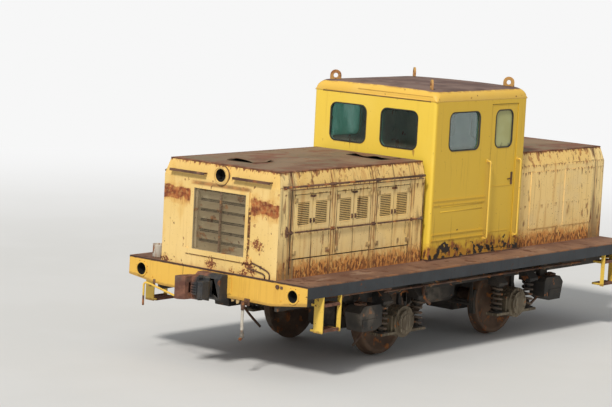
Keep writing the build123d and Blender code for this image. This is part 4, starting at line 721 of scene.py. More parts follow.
class Shape:
    """Gathers blocks, bars and plates into the mesh of one piece."""

    def __init__(self):
        self.mesh = bmesh.new()

    def ring(self, points):
        return [self.mesh.verts.new(point) for point in points]

    def cap(self, ring, finish=0, smooth=False):
        face = self.mesh.faces.new(ring)
        face.material_index = finish
        face.smooth = smooth

    def skin(self, rings, finish=0, smooth=False):
        """Faces from each ring to the next; a ring of one point is met by a flat fan."""
        for ring, following in zip(rings, rings[1:]):
            fan = len(following) == 1
            for n, corner in enumerate(ring):
                m = (n + 1) % len(ring)
                beyond = following if fan else (following[m], following[n])
                self.cap((corner, ring[m], *beyond), finish, smooth and not fan)

    def block(self, low, high, finish=0):
        """A box between two opposite corners."""
        size = [abs(b - a) for a, b in zip(low, high)]
        middle = [(a + b) / 2 for a, b in zip(low, high)]
        made = bmesh.ops.create_cube(self.mesh, size=1)["verts"]
        for vertex in made:
            vertex.co = Vector([c * s + m for c, s, m in zip(vertex.co, size, middle)])
        for face in {face for vertex in made for face in vertex.link_faces}:
            face.material_index = finish

    def plate(self, outline, across, start, end, finish=0):
        """An outline drawn in two axes, pushed out along the third, named by across."""
        first, last = [self.ring(laid(outline, across, depth)) for depth in (start, end)]
        self.cap(first, finish)
        self.cap(last, finish)
        self.skin([first, last], finish)

    def frame(self, outer, inner, across, start, end, finish=0):
        """A plate with a hole; both outlines have as many points, in the same order."""
        edges = ((outer, start), (outer, end), (inner, end), (inner, start))
        rings = [self.ring(laid(outline, across, depth)) for outline, depth in edges]
        self.skin(rings + rings[:1], finish)

    def bar(self, points, radius, sides, finish=0, bend=0.0):
        """A round bar through the points, its corners bent by the given run."""
        line = bent_line([Vector(p) for p in points], bend)
        side = (line[1] - line[0]).orthogonal().normalized()
        rings = []
        for n, point in enumerate(line):
            way = (line[min(n + 1, len(line) - 1)] - line[max(n - 1, 0)]).normalized()
            side = (side - side.dot(way) * way).normalized()
            other = way.cross(side)
            rings.append(self.ring([point + radius * (math.cos(angle) * side + math.sin(angle) * other)
                                    for angle in turns(sides)]))
        self.skin(rings, finish, smooth=True)
        self.cap(rings[0], finish)
        self.cap(rings[-1], finish)

    def add(self, mesh, place):
        """Takes in a finished mesh, moved by a matrix, in the first finish."""
        mesh.transform(place)
        before = len(self.mesh.faces)
        self.mesh.from_mesh(mesh)
        self.mesh.faces.ensure_lookup_table()
        for face in self.mesh.faces[before:]:
            face.material_index = 0
        bpy.data.meshes.remove(mesh)

    def closed(self, name):
        """The finished mesh, with its faces turned outwards."""
        bmesh.ops.recalc_face_normals(self.mesh, faces=self.mesh.faces)
        data = bpy.data.meshes.new(name)
        self.mesh.to_mesh(data)
        self.mesh.free()
        return data

    def piece(self, name, finishes, slot, body=CHASSIS, bevel=0.0, replaces=()):
        """Closes the mesh and makes the object, riding on its body."""
        return as_piece(name, self.closed(name), finishes, body, bevel, replaces)


def turns(count):
    """The angles of a full turn in equal steps."""
    return [2 * math.pi * n / count for n in range(count)]


def laid(outline, across, depth):
    """Points of an outline in two axes, at a depth along the third."""
    return [{"x": (depth, u, v), "y": (u, depth, v), "z": (u, v, depth)}[across] for u, v in outline]


def spaced(first, pitch, count):
    return [first + n * pitch for n in range(count)]


def rectangle(u0, u1, v0, v1):
    return [(u0, v0), (u1, v0), (u1, v1), (u0, v1)]


def circle(u, v, radius, sides=40):
    return [(u + radius * math.cos(angle), v + radius * math.sin(angle)) for angle in turns(sides)]


def rounded(u, v, width, height, radius, steps=7):
    """The points of a rectangle with round corners."""
    points = []
    for cu, cv, start in ((1, 1, 0), (-1, 1, 90), (-1, -1, 180), (1, -1, 270)):
        for n in range(steps + 1):
            angle = math.radians(start + 90 * n / steps)
            points.append((u + cu * (width / 2 - radius) + radius * math.cos(angle),
                           v + cv * (height / 2 - radius) + radius * math.sin(angle)))
    return points


def bent_line(points, bend):
    """Rounds the corners of a line by short curves."""
    if bend <= 0 or len(points) < 3:
        return points
    steps = 6
    line = [points[0]]
    for before, at, after in zip(points, points[1:], points[2:]):
        run_in = min(bend, (at - before).length * 0.49)
        run_out = min(bend, (after - at).length * 0.49)
        start = at + (before - at).normalized() * run_in
        end = at + (after - at).normalized() * run_out
        for n in range(steps + 1):
            t = n / steps
            line.append((1 - t) ** 2 * start + 2 * t * (1 - t) * at + t * t * end)
    line.append(points[-1])
    return line


def round_edges(piece, width, segments=2, sharper_than=40):
    """Bevels the edges that turn by more than an angle in degrees."""
    edge = piece.modifiers.new("edge", "BEVEL")
    edge.width = width
    edge.segments = segments
    edge.limit_method = "ANGLE"
    edge.angle_limit = math.radians(sharper_than)


def as_piece(name, data, finishes, body=CHASSIS, bevel=0.0, replaces=()):
    """Makes a mesh an object that rides on a body; a grown mesh already has its finish."""
    if not data.materials:
        for finish in finishes:
            data.materials.append(finish)
    piece = bpy.data.objects.new(name, data)
    bpy.context.scene.collection.objects.link(piece)
    if bevel:
        round_edges(piece, bevel)
    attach(piece, body)
    if replaces:
        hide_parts(*replaces)
    return piece


def softened(node, finish, width):
    """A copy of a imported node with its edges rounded, in place of the sharp one."""
    copy = bmesh.new()
    copy.from_mesh(nodes[node].data)
    bmesh.ops.remove_doubles(copy, verts=copy.verts, dist=1e-5)
    bmesh.ops.dissolve_limit(copy, angle_limit=math.radians(0.5), verts=copy.verts, edges=copy.edges)
    data = bpy.data.meshes.new(f"{node}_soft")
    copy.to_mesh(data)
    copy.free()
    piece = as_piece(f"{node}_soft", data, [finish], replaces=[node])
    round_edges(piece, width, segments=3)


FLOAT = "NodeSocketFloat"
WHOLE = "NodeSocketInt"
VECTOR = "NodeSocketVector"


class Tree(Graph):
    """A geometry tree with named inputs, ended by Realize Instances and Set Material."""

    def __init__(self, name, inputs):
        super().__init__(bpy.data.node_groups.new(name, "GeometryNodeTree"))
        inputs = {"Points": "NodeSocketGeometry", **inputs, "Finish": "NodeSocketMaterial"}
        self.sockets = {}
        for title, kind in inputs.items():
            self.sockets[title] = self.tree.interface.new_socket(title, in_out="INPUT", socket_type=kind)
        self.tree.interface.new_socket("Geometry", in_out="OUTPUT", socket_type="NodeSocketGeometry")
        entry = self.tree.nodes.new("NodeGroupInput")
        self.given = {title: Term(self, entry.outputs[title]) for title in inputs}

    def vector(self, x=0.0, y=0.0, z=0.0):
        return self.node("ShaderNodeCombineXYZ", sockets={0: x, 1: y, 2: z})

    def join(self, *parts):
        return self.node("GeometryNodeJoinGeometry", sockets={0: list(parts)})

    def row(self, instance, count, offset, start=(0, 0, 0)):
        """Copies of an instance along a straight line."""
        line = self.node("GeometryNodeMeshLine", sockets={"Count": count, "Start Location": start,
                                                          "Offset": offset})
        return self.node("GeometryNodeInstanceOnPoints", sockets={"Points": line, "Instance": instance})

    def end(self, instance, turned=(0, 0, 0)):
        """Sets the instance on each point, and makes the copies real and finished."""
        placed = self.node("GeometryNodeInstanceOnPoints", sockets={
            "Points": self.given["Points"], "Instance": instance, "Rotation": turned})
        real = self.node("GeometryNodeRealizeInstances", sockets={0: placed})
        coated = self.node("GeometryNodeSetMaterial",
                           sockets={"Geometry": real, "Material": self.given["Finish"]})
        out = self.tree.nodes.new("NodeGroupOutput")
        self.feed(out.inputs[0], coated)
        return self

    def grow(self, values, points=((0, 0, 0),)):
        """Runs the tree on loose points and returns the plain mesh."""
        data = bpy.data.meshes.new("seed")
        data.from_pydata([tuple(p) for p in points], [], [])
        seed = bpy.data.objects.new("seed", data)
        bpy.context.scene.collection.objects.link(seed)
        modifier = seed.modifiers.new("grow", "NODES")
        modifier.node_group = self.tree
        for title, value in values.items():
            modifier[self.sockets[title].identifier] = value
        depsgraph = bpy.context.evaluated_depsgraph_get()
        depsgraph.update()
        grown = bpy.data.meshes.new_from_object(seed.evaluated_get(depsgraph), depsgraph=depsgraph)
        seed.modifiers.clear()
        bpy.data.objects.remove(seed)
        return grown


def bolt_tree():
    """Hexagon heads on washers, one at each point, facing along one direction."""
    tree = Tree("bolts", {"Radius": FLOAT, "Height": FLOAT, "Facing": VECTOR})
    radius, height = tree.given["Radius"], tree.given["Height"]
    head = tree.node("GeometryNodeMeshCylinder", sockets={"Vertices": 6, "Radius": radius, "Depth": height})
    raised = tree.node("GeometryNodeTransform",
                       sockets={"Geometry": head, "Translation": tree.vector(z=height * 0.5)})
    washer = tree.node("GeometryNodeMeshCylinder",
                       sockets={"Vertices": 12, "Radius": radius * 1.45, "Depth": height * 0.4})
    turned = tree.node("FunctionNodeAlignRotationToVector", {"axis": "Z"}, {"Vector": tree.given["Facing"]})
    return tree.end(tree.join(raised, washer), turned)


def slat_tree():
    """A row of bowed blades, one below another."""
    tree = Tree("slats", {"Count": WHOLE, "Pitch": FLOAT, "Length": FLOAT, "Depth": FLOAT,
                          "Thickness": FLOAT, "Bow": FLOAT, "Tilt": FLOAT})
    given = tree.given
    sheet = tree.node("GeometryNodeMeshGrid", sockets={"Size X": given["Length"], "Size Y": given["Depth"],
                                                       "Vertices X": 2, "Vertices Y": 6})
    along = tree.apart(tree.node("GeometryNodeInputPosition"))[1] / given["Depth"] * 2.0
    bowed = tree.node("GeometryNodeSetPosition", sockets={
        "Geometry": sheet, "Offset": tree.vector(z=given["Bow"] * (1 - along * along))})
    thick = tree.node("GeometryNodeExtrudeMesh", {"mode": "FACES"}, {
        "Mesh": bowed, "Offset Scale": given["Thickness"], "Individual": False})
    back = tree.node("GeometryNodeFlipFaces", sockets={0: bowed})
    closed = tree.node("GeometryNodeMergeByDistance",
                       sockets={"Geometry": tree.join(thick, back), "Distance": 0.00001})
    tilted = tree.node("GeometryNodeTransform",
                       sockets={"Geometry": closed, "Rotation": tree.vector(x=given["Tilt"])})
    return tree.end(tree.row(tilted, given["Count"], tree.vector(z=0.0 - given["Pitch"])))


def coil_tree():
    """A helical spring standing on each point."""
    tree = Tree("coils", {"Turns": FLOAT, "Radius": FLOAT, "Height": FLOAT, "Wire": FLOAT})
    given = tree.given
    helix = tree.node("GeometryNodeCurveSpiral", sockets={
        "Resolution": 22, "Rotations": given["Turns"], "Start Radius": given["Radius"],
        "End Radius": given["Radius"], "Height": given["Height"]})
    section = tree.node("GeometryNodeCurvePrimitiveCircle",
                        sockets={"Resolution": 8, "Radius": given["Wire"]})
    wire = tree.node("GeometryNodeCurveToMesh",
                     sockets={"Curve": helix, "Profile Curve": section, "Fill Caps": True})
    return tree.end(wire)


def netting_tree():
    """Two crossed sets of thin wires in the YZ plane."""
    tree = Tree("netting", {"Width": FLOAT, "Height": FLOAT, "Pitch": FLOAT, "Wire": FLOAT})
    width, height, pitch, thick = [tree.given[title] for title in ("Width", "Height", "Pitch", "Wire")]
    upright = tree.node("GeometryNodeMeshCube", sockets={"Size": tree.vector(thick, thick, height)})
    level = tree.node("GeometryNodeMeshCube", sockets={"Size": tree.vector(thick, width, thick)})
    uprights = tree.row(upright, width / pitch + 1.0, tree.vector(y=pitch), tree.vector(y=width * -0.5))
    levels = tree.row(level, height / pitch + 1.0, tree.vector(z=pitch), tree.vector(z=height * -0.5))
    return tree.end(tree.join(uprights, levels))


BOLTS = bolt_tree()
SLATS = slat_tree()
COILS = coil_tree()
NETTING = netting_tree()


def bolts(name, points, radius, height, facing, finish):
    """One piece of all the bolts that face the same way."""
    data = BOLTS.grow({"Radius": radius, "Height": height, "Facing": facing, "Finish": finish}, points)
    as_piece(name, data, [finish])


# Louvred door leaves
LOUVRES = 12
LOUVRE_PITCH = 0.024
LOUVRE_W = 0.23
LOUVRE_TOP = DECK + 0.981
LEAF_T = 0.03
LEAF_RIM = 0.025
SKIN = 0.006
PIN_R = 0.008
PIN_OUT = 0.009
STRAP_Z = DECK + 0.60
STRAP_IN = 0.012
STRAP_OUT = 0.030
STRAP_HALF = 0.009
LOCK_Z = STRAP_Z + 0.135


def leaf_mesh(low, high, width):
    """A leaf hinged on X = 0 that runs to +X, with its outer face on Y = 0 facing +Y."""
    shape = Shape()
    left, right = (width - LOUVRE_W) / 2, (width + LOUVRE_W) / 2
    bottom = LOUVRE_TOP - LOUVRES * LOUVRE_PITCH - 0.004
    sheet = rectangle(0.0, width, low, high)
    shape.frame(sheet, rectangle(left, right, bottom, LOUVRE_TOP), "y", -SKIN, 0.0)
    hollow = rectangle(LEAF_RIM, width - LEAF_RIM, low + LEAF_RIM, high - LEAF_RIM)
    shape.frame(sheet, hollow, "y", -LEAF_T, -SKIN)
    # A dark plate behind the louvres' slots: painted shade.
    backing = rectangle(0.03, width - 0.03, bottom - 0.06, LOUVRE_TOP + 0.06)
    shape.plate(backing, "y", -LEAF_T, -LEAF_T + 0.003, 1)

    blades = SLATS.grow({"Count": LOUVRES, "Pitch": LOUVRE_PITCH, "Length": LOUVRE_W, "Depth": 0.0175,
                         "Thickness": 0.0016, "Bow": 0.0018, "Tilt": math.radians(52), "Finish": DOOR})
    shape.add(blades, Matrix.Translation((width / 2, 0.002, LOUVRE_TOP - LOUVRE_PITCH * 0.5)))
    for z in (bottom - 0.012, LOUVRE_TOP + 0.012):
        shape.block((left, 0.0, z - 0.004), (right, 0.003, z + 0.004))
    for z in (low + 0.07, high - 0.07):
        shape.bar([(0, PIN_OUT, z - 0.035), (0, PIN_OUT, z + 0.035)], PIN_R, 10, 2)
        shape.block((0.0, 0.0, z - 0.03), (0.06, 0.004, z + 0.03), 2)

    shape.block((0.005, STRAP_IN, STRAP_Z - STRAP_HALF), (width - 0.005, STRAP_OUT, STRAP_Z + STRAP_HALF), 3)
    for x in (width * 0.25, width * 0.75):
        shape.block((x - 0.012, 0.0, STRAP_Z - STRAP_HALF), (x + 0.012, STRAP_IN, STRAP_Z + STRAP_HALF), 3)
    lock = width - 0.030
    shape.block((lock - 0.014, 0.0, LOCK_Z - 0.030), (lock + 0.014, 0.008, LOCK_Z + 0.030), 3)
    shape.bar([(lock, 0.006, LOCK_Z), (lock, 0.020, LOCK_Z)], 0.010, 8, 3)
    catch = [(width - 0.050, high - 0.030), (width - 0.006, high - 0.040), (width - 0.006, high - 0.012),
             (width - 0.046, high - 0.008)]
    shape.plate(catch, "y", 0.0, 0.014, 3)
    shape.bar([(width - 0.022, 0.010, high - 0.024), (width - 0.022, 0.026, high - 0.024)], 0.010, 8, 3)
    return shape.closed("leaf")


def door_leaves():
    """Mirrors one leaf to all twelve places."""
    low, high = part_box("hood_door_left_1")
    pattern = leaf_mesh(low.z, high.z, high.x - low.x - PIN_R)
    for side, name in NAMED_SIDES:
        for number in range(1, 7):
            node = f"hood_door_{name}_{number}"
            low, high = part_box(node)
            way = -1 if number % 2 else 1
            hinge = high.x - PIN_R if way < 0 else low.x + PIN_R
            place = Matrix.Translation((hinge, side * HOOD_HALF, 0)) @ Matrix.Diagonal((way, side, 1, 1))
            data = pattern.copy()
            data.transform(place)
            if way * side < 0:
                data.flip_normals()
            as_piece(f"leaf_{name}_{number}", data, [DOOR, SHADE_SHEET, HINGE, DARK_BAR],
                     f"{name}_hood_door_{number}", replaces=[node])


# Nose: grille, headlight ring, lip and bars
GRILLE_HALF = 0.45
GRILLE_LOW = DECK + 0.23
GRILLE_HIGH = GRILLE_LOW + 0.805
GRILLE_ROWS = 6
RIM = 0.055
RIM_OUT = NOSE + 0.022
WELL_BACK = 0.09
LAMP_Z = DECK + 1.243
RING_R = 0.127
RING_HOLE_R = 0.086
RING_OUT = 0.030


def grille():
    """A rim and its reveal, six bowed blades on a middle bar, a dark backing of painted shade and a fine net.
    """
    rim = Shape()
    hole = rectangle(-GRILLE_HALF, GRILLE_HALF, GRILLE_LOW, GRILLE_HIGH)
    outside = rectangle(-GRILLE_HALF - RIM, GRILLE_HALF + RIM, GRILLE_LOW - 0.004, GRILLE_HIGH + RIM)
    rim.frame(outside, hole, "x", NOSE, RIM_OUT)
    sill_half = GRILLE_HALF + RIM + 0.065
    rim.block((NOSE, -sill_half, GRILLE_LOW - 0.070), (RIM_OUT, sill_half, GRILLE_LOW - 0.002))
    reveal = rectangle(-GRILLE_HALF + 0.006, GRILLE_HALF - 0.006, GRILLE_LOW + 0.004, GRILLE_HIGH - 0.004)
    rim.frame(hole, reveal, "x", NOSE - WELL_BACK, RIM_OUT - 0.002, 1)
    rim.piece("grille_rim", [HOOD, SLAT], "hood_cream", bevel=0.003, replaces=["nose_grille"])

    pitch = (GRILLE_HIGH - GRILLE_LOW) / GRILLE_ROWS
    blades = SLATS.grow({"Count": GRILLE_ROWS, "Pitch": pitch, "Length": 2 * GRILLE_HALF - 0.060,
                         "Depth": 0.108, "Thickness": 0.004, "Bow": 0.007, "Tilt": math.radians(66),
                         "Finish": SLAT})
    row = Shape()
    turn = Matrix.Rotation(math.radians(-90), 4, "Z")
    row.add(blades, Matrix.Translation((NOSE - 0.052, 0, GRILLE_HIGH - pitch * 0.60)) @ turn)
    row.block((NOSE - 0.030, -0.011, GRILLE_LOW), (NOSE + 0.006, 0.011, GRILLE_HIGH), 1)
    for side in SIDES:
        row.block((NOSE - 0.086, side * (GRILLE_HALF - 0.006), GRILLE_LOW),
                  (NOSE - 0.020, side * (GRILLE_HALF - 0.036), GRILLE_HIGH))
    row.piece("grille_blades", [SLAT, DARK_BAR], "grille_grey")

    # A dark sheet behind the blades: painted shade.
    backing = Shape()
    sheet = rectangle(-GRILLE_HALF + 0.007, GRILLE_HALF - 0.007, GRILLE_LOW + 0.005, GRILLE_HIGH - 0.005)
    backing.plate(sheet, "x", NOSE - 0.089, NOSE - 0.086)
    backing.piece("grille_shade_backing", [SHADE_SHEET], "grille_grey")

    net = NETTING.grow({"Width": 2 * GRILLE_HALF - 0.02, "Height": GRILLE_HIGH - GRILLE_LOW - 0.01,
                        "Pitch": 0.020, "Wire": 0.0020, "Finish": SLAT},
                       [(NOSE + 0.010, 0, (GRILLE_LOW + GRILLE_HIGH) / 2)])
    as_piece("grille_netting", net, [SLAT])


def headlight_rings():
    """A stepped ring round an empty well with three pegs, at both ends; the well and its pegs are black, as
    painted shade.
    """
    def round_hole(radius):
        return circle(0, LAMP_Z, radius)

    for end, name in NAMED_ENDS:
        face = end * (NOSE + RING_OUT)
        step = face - end * 0.006
        ring = Shape()
        ring.frame(round_hole(RING_R), round_hole(RING_HOLE_R), "x", end * (NOSE - WELL_BACK), step)
        ring.frame(round_hole(RING_R - 0.012), round_hole(RING_HOLE_R + 0.006), "x", step, face)
        ring.frame(round_hole(RING_R + 0.007), round_hole(RING_R), "x", end * (NOSE - 0.012),
                   end * (NOSE + 0.004), 1)
        ring.frame(round_hole(RING_HOLE_R + 0.017), round_hole(RING_HOLE_R + 0.012), "x",
                   face - end * 0.004, face + end * 0.0012, 1)
        ring.piece(f"lamp_ring_{name}", [HOOD, DARK_BAR], "hood_cream", bevel=0.0035,
                   replaces=["headlight_rings"])
        # The well is a black cup: painted shade inside the lamp.
        well = Shape()
        well.frame(round_hole(RING_HOLE_R), round_hole(RING_HOLE_R - 0.004), "x", end * (NOSE - 0.088),
                   face - end * 0.010)
        well.plate(round_hole(RING_HOLE_R), "x", end * (NOSE - 0.088), end * (NOSE - 0.080))
        for y, z in circle(0, LAMP_Z, 0.072, 12)[3::4]:
            well.bar([(end * (NOSE - 0.080), y, z), (end * (NOSE - 0.020), y, z)], 0.006, 8)
        well.piece(f"lamp_well_{name}", [BLACK], "grille_grey")


# Rails, straps and seams of the hood's sides
RAIL_Y = HOOD_HALF + 0.045
RAIL_Z = DECK + 1.195
RAIL_ENDS = (NOSE - 0.06, HOOD_END + 0.06)
RAIL_BRACKETS = 4


def side_rail(side, name):
    """The round rail along the roof's edge, on brackets."""
    rail = Shape()
    front, rear = RAIL_ENDS
    y = side * RAIL_Y
    rail.bar([(front, y, RAIL_Z), (rear, y, RAIL_Z)], 0.014, 12)
    for n in range(RAIL_BRACKETS):
        x = front - 0.04 - n * (front - rear - 0.08) / (RAIL_BRACKETS - 1)
        rail.bar([(x, side * (HOOD_HALF - 0.010), RAIL_Z), (x, y, RAIL_Z)], 0.011, 10)
        rail.bar([(x - 0.022, y, RAIL_Z), (x + 0.022, y, RAIL_Z)], 0.0185, 12)
        rail.block((x - 0.03, side * (HOOD_HALF - 0.012), RAIL_Z - 0.035),
                   (x + 0.03, side * (HOOD_HALF + 0.004), RAIL_Z + 0.012))
    rail.piece(f"side_rail_{name}", [DARK_BAR], "rusty_rail", replaces=["handrails"])


def side_seams(side, name):
    """Dark joints between the side's sheets, a dark line of painted shade under the door leaves, and a dark
    strip of painted shadow under the rail.
    """
    lines = Shape()
    wall = side * (HOOD_HALF - 0.006)
    face = side * (HOOD_HALF + 0.0015)
    rail_shadow_face = side * (HOOD_HALF + 0.010)
    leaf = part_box("hood_door_left_1")[0].z
    # The second line, under the door leaves, is painted shade.
    for x0, x1, z0, z1 in ((NOSE - 0.246, NOSE - 0.234, DECK + 0.056, DECK + 1.150),
                           (DOOR_ENDS[2] - 0.02, NOSE - 0.246, leaf - 0.013, leaf - 0.006),
                           (HOOD_END + 0.012, HOOD_END + 0.020, DECK + 0.04, DECK + 1.12)):
        lines.block((x0, wall, z0), (x1, face, z1))
    # A dark strip under the rail: painted shadow of the rail.
    lines.block((HOOD_END + 0.03, wall, RAIL_Z - 0.052), (NOSE - 0.22, rail_shadow_face, RAIL_Z - 0.043), 1)
    lines.piece(f"side_seams_{name}", [BLACK, DARK_BAR], "rusty_rail")


def post_straps(side, name):
    """The lengths of the strap that stay on the posts, with feet, and the latch on the corner strip."""
    strap = Shape()
    low, high = STRAP_Z - STRAP_HALF, STRAP_Z + STRAP_HALF
    wall = side * HOOD_HALF
    spans = [(NOSE - 0.13, DOOR_STARTS[0] + 0.028)]
    spans += [(post + 0.038, post - 0.038) for post in POSTS[1:3]]
    spans.append((DOOR_ENDS[2] - 0.028, HOOD_END + 0.03))
    for front, rear in spans:
        strap.block((rear, wall, low), (front, wall + side * STRAP_OUT, high))
        for x in (front - 0.02, rear + 0.02):
            strap.block((x - 0.016, wall, low - 0.014), (x + 0.016, wall + side * 0.012, high + 0.014))
    x = NOSE - 0.155
    latch = [(x - 0.020, DECK + 0.555), (x + 0.016, DECK + 0.545), (x + 0.024, DECK + 0.640),
             (x + 0.006, DECK + 0.690), (x - 0.014, DECK + 0.655)]
    strap.plate(latch, "y", wall, wall + side * 0.022)
    strap.bar([(x, wall, STRAP_Z), (x, wall + side * 0.040, STRAP_Z)], 0.013, 10)
    strap.piece(f"post_straps_{name}", [DARK_BAR], "rusty_rail", bevel=0.002, replaces=["handrails"])


def nose_grab_bars():
    """Two angle bars on brackets below the roof's front edge."""
    grabs = Shape()
    x, z = NOSE + 0.045, DECK + 1.235
    angle_bar = [(x - 0.016, z + 0.016), (x + 0.016, z + 0.016), (x + 0.016, z - 0.016),
                 (x + 0.010, z - 0.016), (x + 0.010, z + 0.010), (x - 0.016, z + 0.010)]
    for y0, y1 in ((-0.87, -0.25), (0.23, 0.87)):
        grabs.plate(angle_bar, "y", y0, y1)
        for y in (y0 + 0.03, y1 - 0.03):
            grabs.block((NOSE - 0.016, y - 0.018, z - 0.004), (x + 0.012, y + 0.018, z + 0.012))
    grabs.piece("nose_grab_bars", [DARK_BAR], "rusty_rail", bevel=0.0015, replaces=["handrails"])


def cab_grab_bars():
    """Bent bars on round feet, one on each side of both doors."""
    posts = Shape()
    low, high = DECK + 0.225, DECK + 1.325
    for side in SIDES:
        wall, y = side * CAB_HALF, side * (CAB_HALF + 0.060)
        for x in (CAB_FRONT - 1.285, CAB_FRONT - 2.035):
            posts.bar([(x, wall, low), (x, y, low), (x, y, high), (x, wall, high)], 0.013, 12, bend=0.035)
            for z in (low, high):
                posts.bar([(x, wall, z), (x, wall + side * 0.006, z)], 0.030, 14)
    posts.piece("cab_grab_bars", [STEP_YELLOW], "rusty_rail", replaces=["handrails"])


def handrails():
    for side, name in NAMED_SIDES:
        side_rail(side, name)
        side_seams(side, name)
        post_straps(side, name)
    nose_grab_bars()
    cab_grab_bars()


def conduits():
    """Two bent pipes from the nose to the deck, with clips."""
    shape = Shape()
    x = NOSE + 0.009
    high = [(0.585, 0.178), (0.690, 0.155), (0.895, 0.090), (0.895, 0.0)]
    low = [(0.515, 0.100), (0.640, 0.085), (0.815, 0.055), (0.815, 0.0)]
    for route in (high, low):
        shape.bar([(x, y, DECK + rise) for y, rise in route], 0.009, 10, bend=0.07)
    for y, rise in ((0.62, 0.088), (0.74, 0.138)):
        shape.block((NOSE, y - 0.010, DECK + rise - 0.016), (NOSE + 0.018, y + 0.010, DECK + rise + 0.016))
    shape.piece("nose_pipes", [DARK_BAR], "rusty_rail", replaces=["nose_conduits"])


def nose_trim():
    """The turned edges of the roof sheets, and dark blocks of painted shade in the gaps between the hoods and
    the cab.
    """
    lip = Shape()
    z, radius = HOOD_TOP - 0.008, 0.0085
    side_y = ROOF_HALF - 0.002
    lip.bar([(ROOF_FRONT - 0.002, -ROOF_HALF, z), (ROOF_FRONT - 0.002, ROOF_HALF, z)], radius, 10)
    for y in (side_y, -side_y):
        lip.bar([(ROOF_FRONT, y, z), (HOOD_END, y, z)], radius, 10)
        lip.bar([(-ROOF_FRONT, y, z), (CAB_REAR - 0.02, y, z)], radius, 10)
    lip.bar([(REAR_END + 0.002, -ROOF_HALF, z), (REAR_END + 0.002, ROOF_HALF, z)], radius, 10)
    lip.piece("roof_lips", [HOOD_ROOF], "rusty_roof")
    # Dark blocks in the gaps by the cab: painted shade.
    gap = Shape()
    for x in (HOOD_END, CAB_REAR):
        gap.block((x - 0.066, 0.10 - HOOD_HALF, DECK), (x - 0.004, HOOD_HALF - 0.10, HOOD_TOP - 0.06))
    gap.piece("gap_painted_shade", [SHADE_SHEET], "frame_dark", bevel=0.004)


def bump(at, middle, spread):
    """A bell curve of height 1."""
    return math.exp(-((at - middle) / spread) ** 2)


def front_lid(u, v):
    """How far the front lid stands up, at shares of its width and of its depth."""
    arch = math.sin(math.pi * min(max(u * 1.1, 0), 1)) ** 0.7
    return 0.034 * arch * max(0.0, 1 - 2.4 * v) + 0.022 * bump(u, 1.0, 0.25) * bump(v, 0.80, 0.14)


def rear_lid(u, v):
    """The same for the rear lid, which stands up in two waves."""
    return (0.012 + 0.024 * bump(u, 0.25, 0.18) + 0.026 * bump(u, 0.85, 0.20)) * max(0.0, 1 - 2.0 * v)


LID_COLS, LID_ROWS = 24, 18


def lid_sheet(corners, lift, bow, rise):
    """Points of a warped sheet between four corners, column by column."""
    points = []
    for i in range(LID_COLS + 1):
        for j in range(LID_ROWS + 1):
            u, v = i / LID_COLS, j / LID_ROWS
            at = corners[0].lerp(corners[1], u).lerp(corners[3].lerp(corners[2], u), v)
            x = at.x + bow * math.sin(math.pi * u) * (1 - v)
            z = HOOD_TOP + rise + lift(u, v) + 0.004 * math.sin(5.0 * u + 3.0 * v) ** 2
            points.append((x, at.y, z))
    return points


def roof_lid(name, outline, lift, bow):
    """Two sheets joined round their rim, over a black patch of painted shade on the roof."""
    corners = [Vector(corner) for corner in outline]
    centre = sum(corners, Vector((0, 0))) / 4
    shape = Shape()
    shade = [tuple(centre + (corner - centre) * 0.97) for corner in corners]
    # A black plate under the lid: painted shade.
    shape.plate(shade, "z", HOOD_TOP, HOOD_TOP + 0.002, 1)
    sheets = [shape.ring(lid_sheet(corners, lift, bow, rise)) for rise in (0.0030, 0.0065)]
    cols, rows, wide = LID_COLS, LID_ROWS, LID_ROWS + 1
    for sheet in sheets:
        for i in range(cols):
            for j in range(rows):
                n, m = i * wide + j, (i + 1) * wide + j
                shape.cap((sheet[n], sheet[m], sheet[m + 1], sheet[n + 1]), smooth=True)
    rim = [i * wide for i in range(cols + 1)] + [cols * wide + j for j in range(1, wide)]
    rim += [i * wide + rows for i in range(cols - 1, -1, -1)] + list(range(rows - 1, 0, -1))
    shape.skin([[sheet[n] for n in rim] for sheet in sheets])
    shape.piece(f"roof_lid_{name}", [HOOD_ROOF, BLACK], "rusty_roof")


def roof_lids():
    """Loose lids on the hood's roof, warped so that a dark gap of painted shade shows under their front
    edges.
    """
    roof_lid("front", ((3.361, -0.332), (3.312, 0.120), (2.925, 0.117), (2.742, -0.470)), front_lid, 0.0)
    roof_lid("rear", ((1.200, -0.060), (1.285, 0.640), (0.835, 0.640), (0.800, -0.060)), rear_lid, 0.020)


# Cab: gaskets, seams, door fittings and the inside
WINDOW_W = 0.64
WINDOW_H = 0.535
WINDOW_Z = DECK + 1.505 + WINDOW_H / 2
WINDOW_Y = 0.13 + WINDOW_W / 2
WINDOW_R = 0.10
SIDE_WINDOW_W = 0.72
SIDE_WINDOW_X = CAB_FRONT - 0.33 - SIDE_WINDOW_W / 2
DOOR_WINDOW_W = 0.42
DOOR_X = CAB_FRONT - 1.33 - 0.33


def gasket(shape, middle, width, across, face, way):
    """A thin black rubber strip round a window."""
    lap, inner = 0.007, 0.010
    out = rounded(middle, WINDOW_Z, width + 2 * lap, WINDOW_H + 2 * lap, WINDOW_R + lap)
    inside = rounded(middle, WINDOW_Z, width - 2 * inner, WINDOW_H - 2 * inner, WINDOW_R - inner)
    shape.frame(out, inside, across, face - way * 0.012, face + way * 0.005)


def cab_gaskets():
    """Round the front, rear and side windows; the doors carry their own."""
    shape = Shape()
    for side in SIDES:
        gasket(shape, side * WINDOW_Y, WINDOW_W, "x", CAB_FRONT, 1)
        gasket(shape, side * WINDOW_Y, WINDOW_W, "x", CAB_REAR, -1)
        gasket(shape, SIDE_WINDOW_X, SIDE_WINDOW_W, "y", side * CAB_HALF, side)
    shape.piece("window_gaskets", [GASKET], "window_glass")


